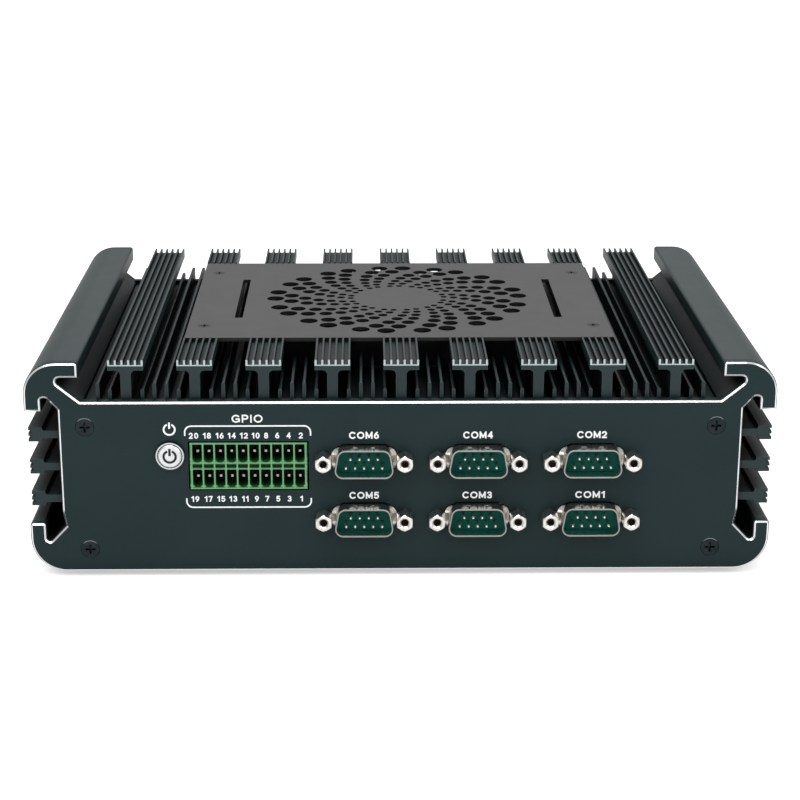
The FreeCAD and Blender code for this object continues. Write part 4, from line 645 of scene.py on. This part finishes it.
def header_labels():
    """Name, pin numbers and bracket lines round the terminal header."""
    low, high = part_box("gpio_header_body")
    centre = (low[0] + high[0]) / 2 / MM
    print_text("label_gpio", "GPIO", centre - 0.2, 50.2, 2.55, 9.5, 0.46, 0.42)
    offsets = (16.1, 12.4, 8.9, 5.5, 2.3, -1.3, -5.0, -8.7, -12.6, -16.7)
    for index, offset in enumerate(offsets):
        for row, level in ((2, 44.75), (1, 24.1)):
            number = 2 * index + row
            print_text(f"label_pin_{number:02d}", str(number), centre + offset, level, 1.9, 0, 0.37, 0.5)
    left, right = low[0] - 1.35 * MM, high[0] + 1.1 * MM
    bracket("bracket_top", left, right, PANEL_LOW + 47.85 * MM, PANEL_LOW + 44.9 * MM, 2.0 * MM)
    bracket("bracket_low", left, right, PANEL_LOW + 21.35 * MM, PANEL_LOW + 24.1 * MM, 2.0 * MM)


def button_marks():
    """Printed mark above the button and the filled mark on its cap."""
    centre = middle("power_button_cap")
    print_lines("power_print", power_mark(centre.x, PANEL_LOW + 46.75 * MM, 1.7 * MM), 0.55 * MM)
    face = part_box("power_button_cap")[0][1]
    mark = power_mark(centre.x, centre.z, 1.85 * MM)
    print_lines("power_cap", mark, 0.74 * MM, face - 0.03 * MM, "button", dark_ink)


port_labels()
header_labels()
button_marks()

# ---------------------------------------------------------------- floor, light and camera


def make_floor():
    """Plain pale floor under the feet."""
    bpy.ops.mesh.primitive_plane_add(size=12.0, location=(0, 2.0, 0))
    floor = bpy.context.object
    floor.name = "floor"
    n = Nodes("floor_white")
    n.set(Base_Color=(0.9, 0.9, 0.9), Roughness=0.9)
    n.set(Specular_IOR_Level=0.0, Emission_Color=(1.0, 1.0, 1.0))
    path = n.add("ShaderNodeLightPath")
    n.drive("Emission Strength", n.ramp(path.outputs["Is Camera Ray"], 0.0, 1.0, 0.0, 0.5))
    floor.data.materials.append(n.material)


def make_world():
    """White surroundings: full white to the eye and through transmission, softer as light and in reflections.
    """
    world = bpy.data.worlds.new("studio")
    scene.world = world
    world.use_nodes = True
    tree = world.node_tree
    background = tree.nodes["Background"]
    path = tree.nodes.new("ShaderNodeLightPath")
    seen = tree.nodes.new("ShaderNodeMath")
    seen.operation = "MAXIMUM"
    tree.links.new(path.outputs["Is Camera Ray"], seen.inputs[0])
    tree.links.new(path.outputs["Is Transmission Ray"], seen.inputs[1])
    level = tree.nodes.new("ShaderNodeMapRange")
    level.inputs["To Min"].default_value = 0.55
    level.inputs["To Max"].default_value = 1.0
    tree.links.new(seen.outputs[0], level.inputs["Value"])
    tree.links.new(level.outputs["Result"], background.inputs["Strength"])
    background.inputs["Color"].default_value = (1, 1, 1, 1)


def add_lamp(name, place, target, size, power):
    """Soft square lamp aimed at a point."""
    data = bpy.data.lights.new(name, "AREA")
    data.shape = "SQUARE"
    data.size = size
    data.energy = power
    lamp = bpy.data.objects.new(name, data)
    scene.collection.objects.link(lamp)
    lamp.location = place
    lamp.rotation_euler = (Vector(target) - Vector(place)).to_track_quat("-Z", "Y").to_euler()


def make_camera():
    """Camera at the product view's place, turned by its yaw, pitch and roll."""
    yaw, pitch, roll = math.radians(0.9943), math.radians(17.8099), math.radians(0.1479)
    forward = Vector((math.sin(yaw) * math.cos(pitch), math.cos(yaw) * math.cos(pitch), -math.sin(pitch)))
    level = Vector((math.cos(yaw), -math.sin(yaw), 0))
    upright = level.cross(forward)
    right = level * math.cos(roll) + upright * math.sin(roll)
    up = upright * math.cos(roll) - level * math.sin(roll)
    data = bpy.data.cameras.new("camera")
    data.sensor_width = 36.0
    data.lens = 87.672
    data.shift_x = 0.0031
    data.shift_y = -0.0016
    data.clip_start = 0.01
    camera = bpy.data.objects.new("camera", data)
    scene.collection.objects.link(camera)
    turn = Matrix((right, up, -forward)).transposed().to_4x4()
    camera.matrix_world = Matrix.Translation((-0.01099, -0.64092, 0.23998)) @ turn
    scene.camera = camera


make_floor()
make_world()
add_lamp("key", (-0.5, -0.9, 1.1), (0, 0, 0.03), 0.9, 9.0)
add_lamp("fill", (0.9, -0.7, 0.7), (0, 0, 0.03), 0.8, 5.0)
add_lamp("back", (0.1, 1.2, 1.4), (0, 0, 0.05), 1.2, 6.5)
add_lamp("top", (0.0, -0.35, 1.2), (0, -0.05, 0.05), 0.5, 3.0)
make_camera()
scene.view_settings.view_transform = "Standard"
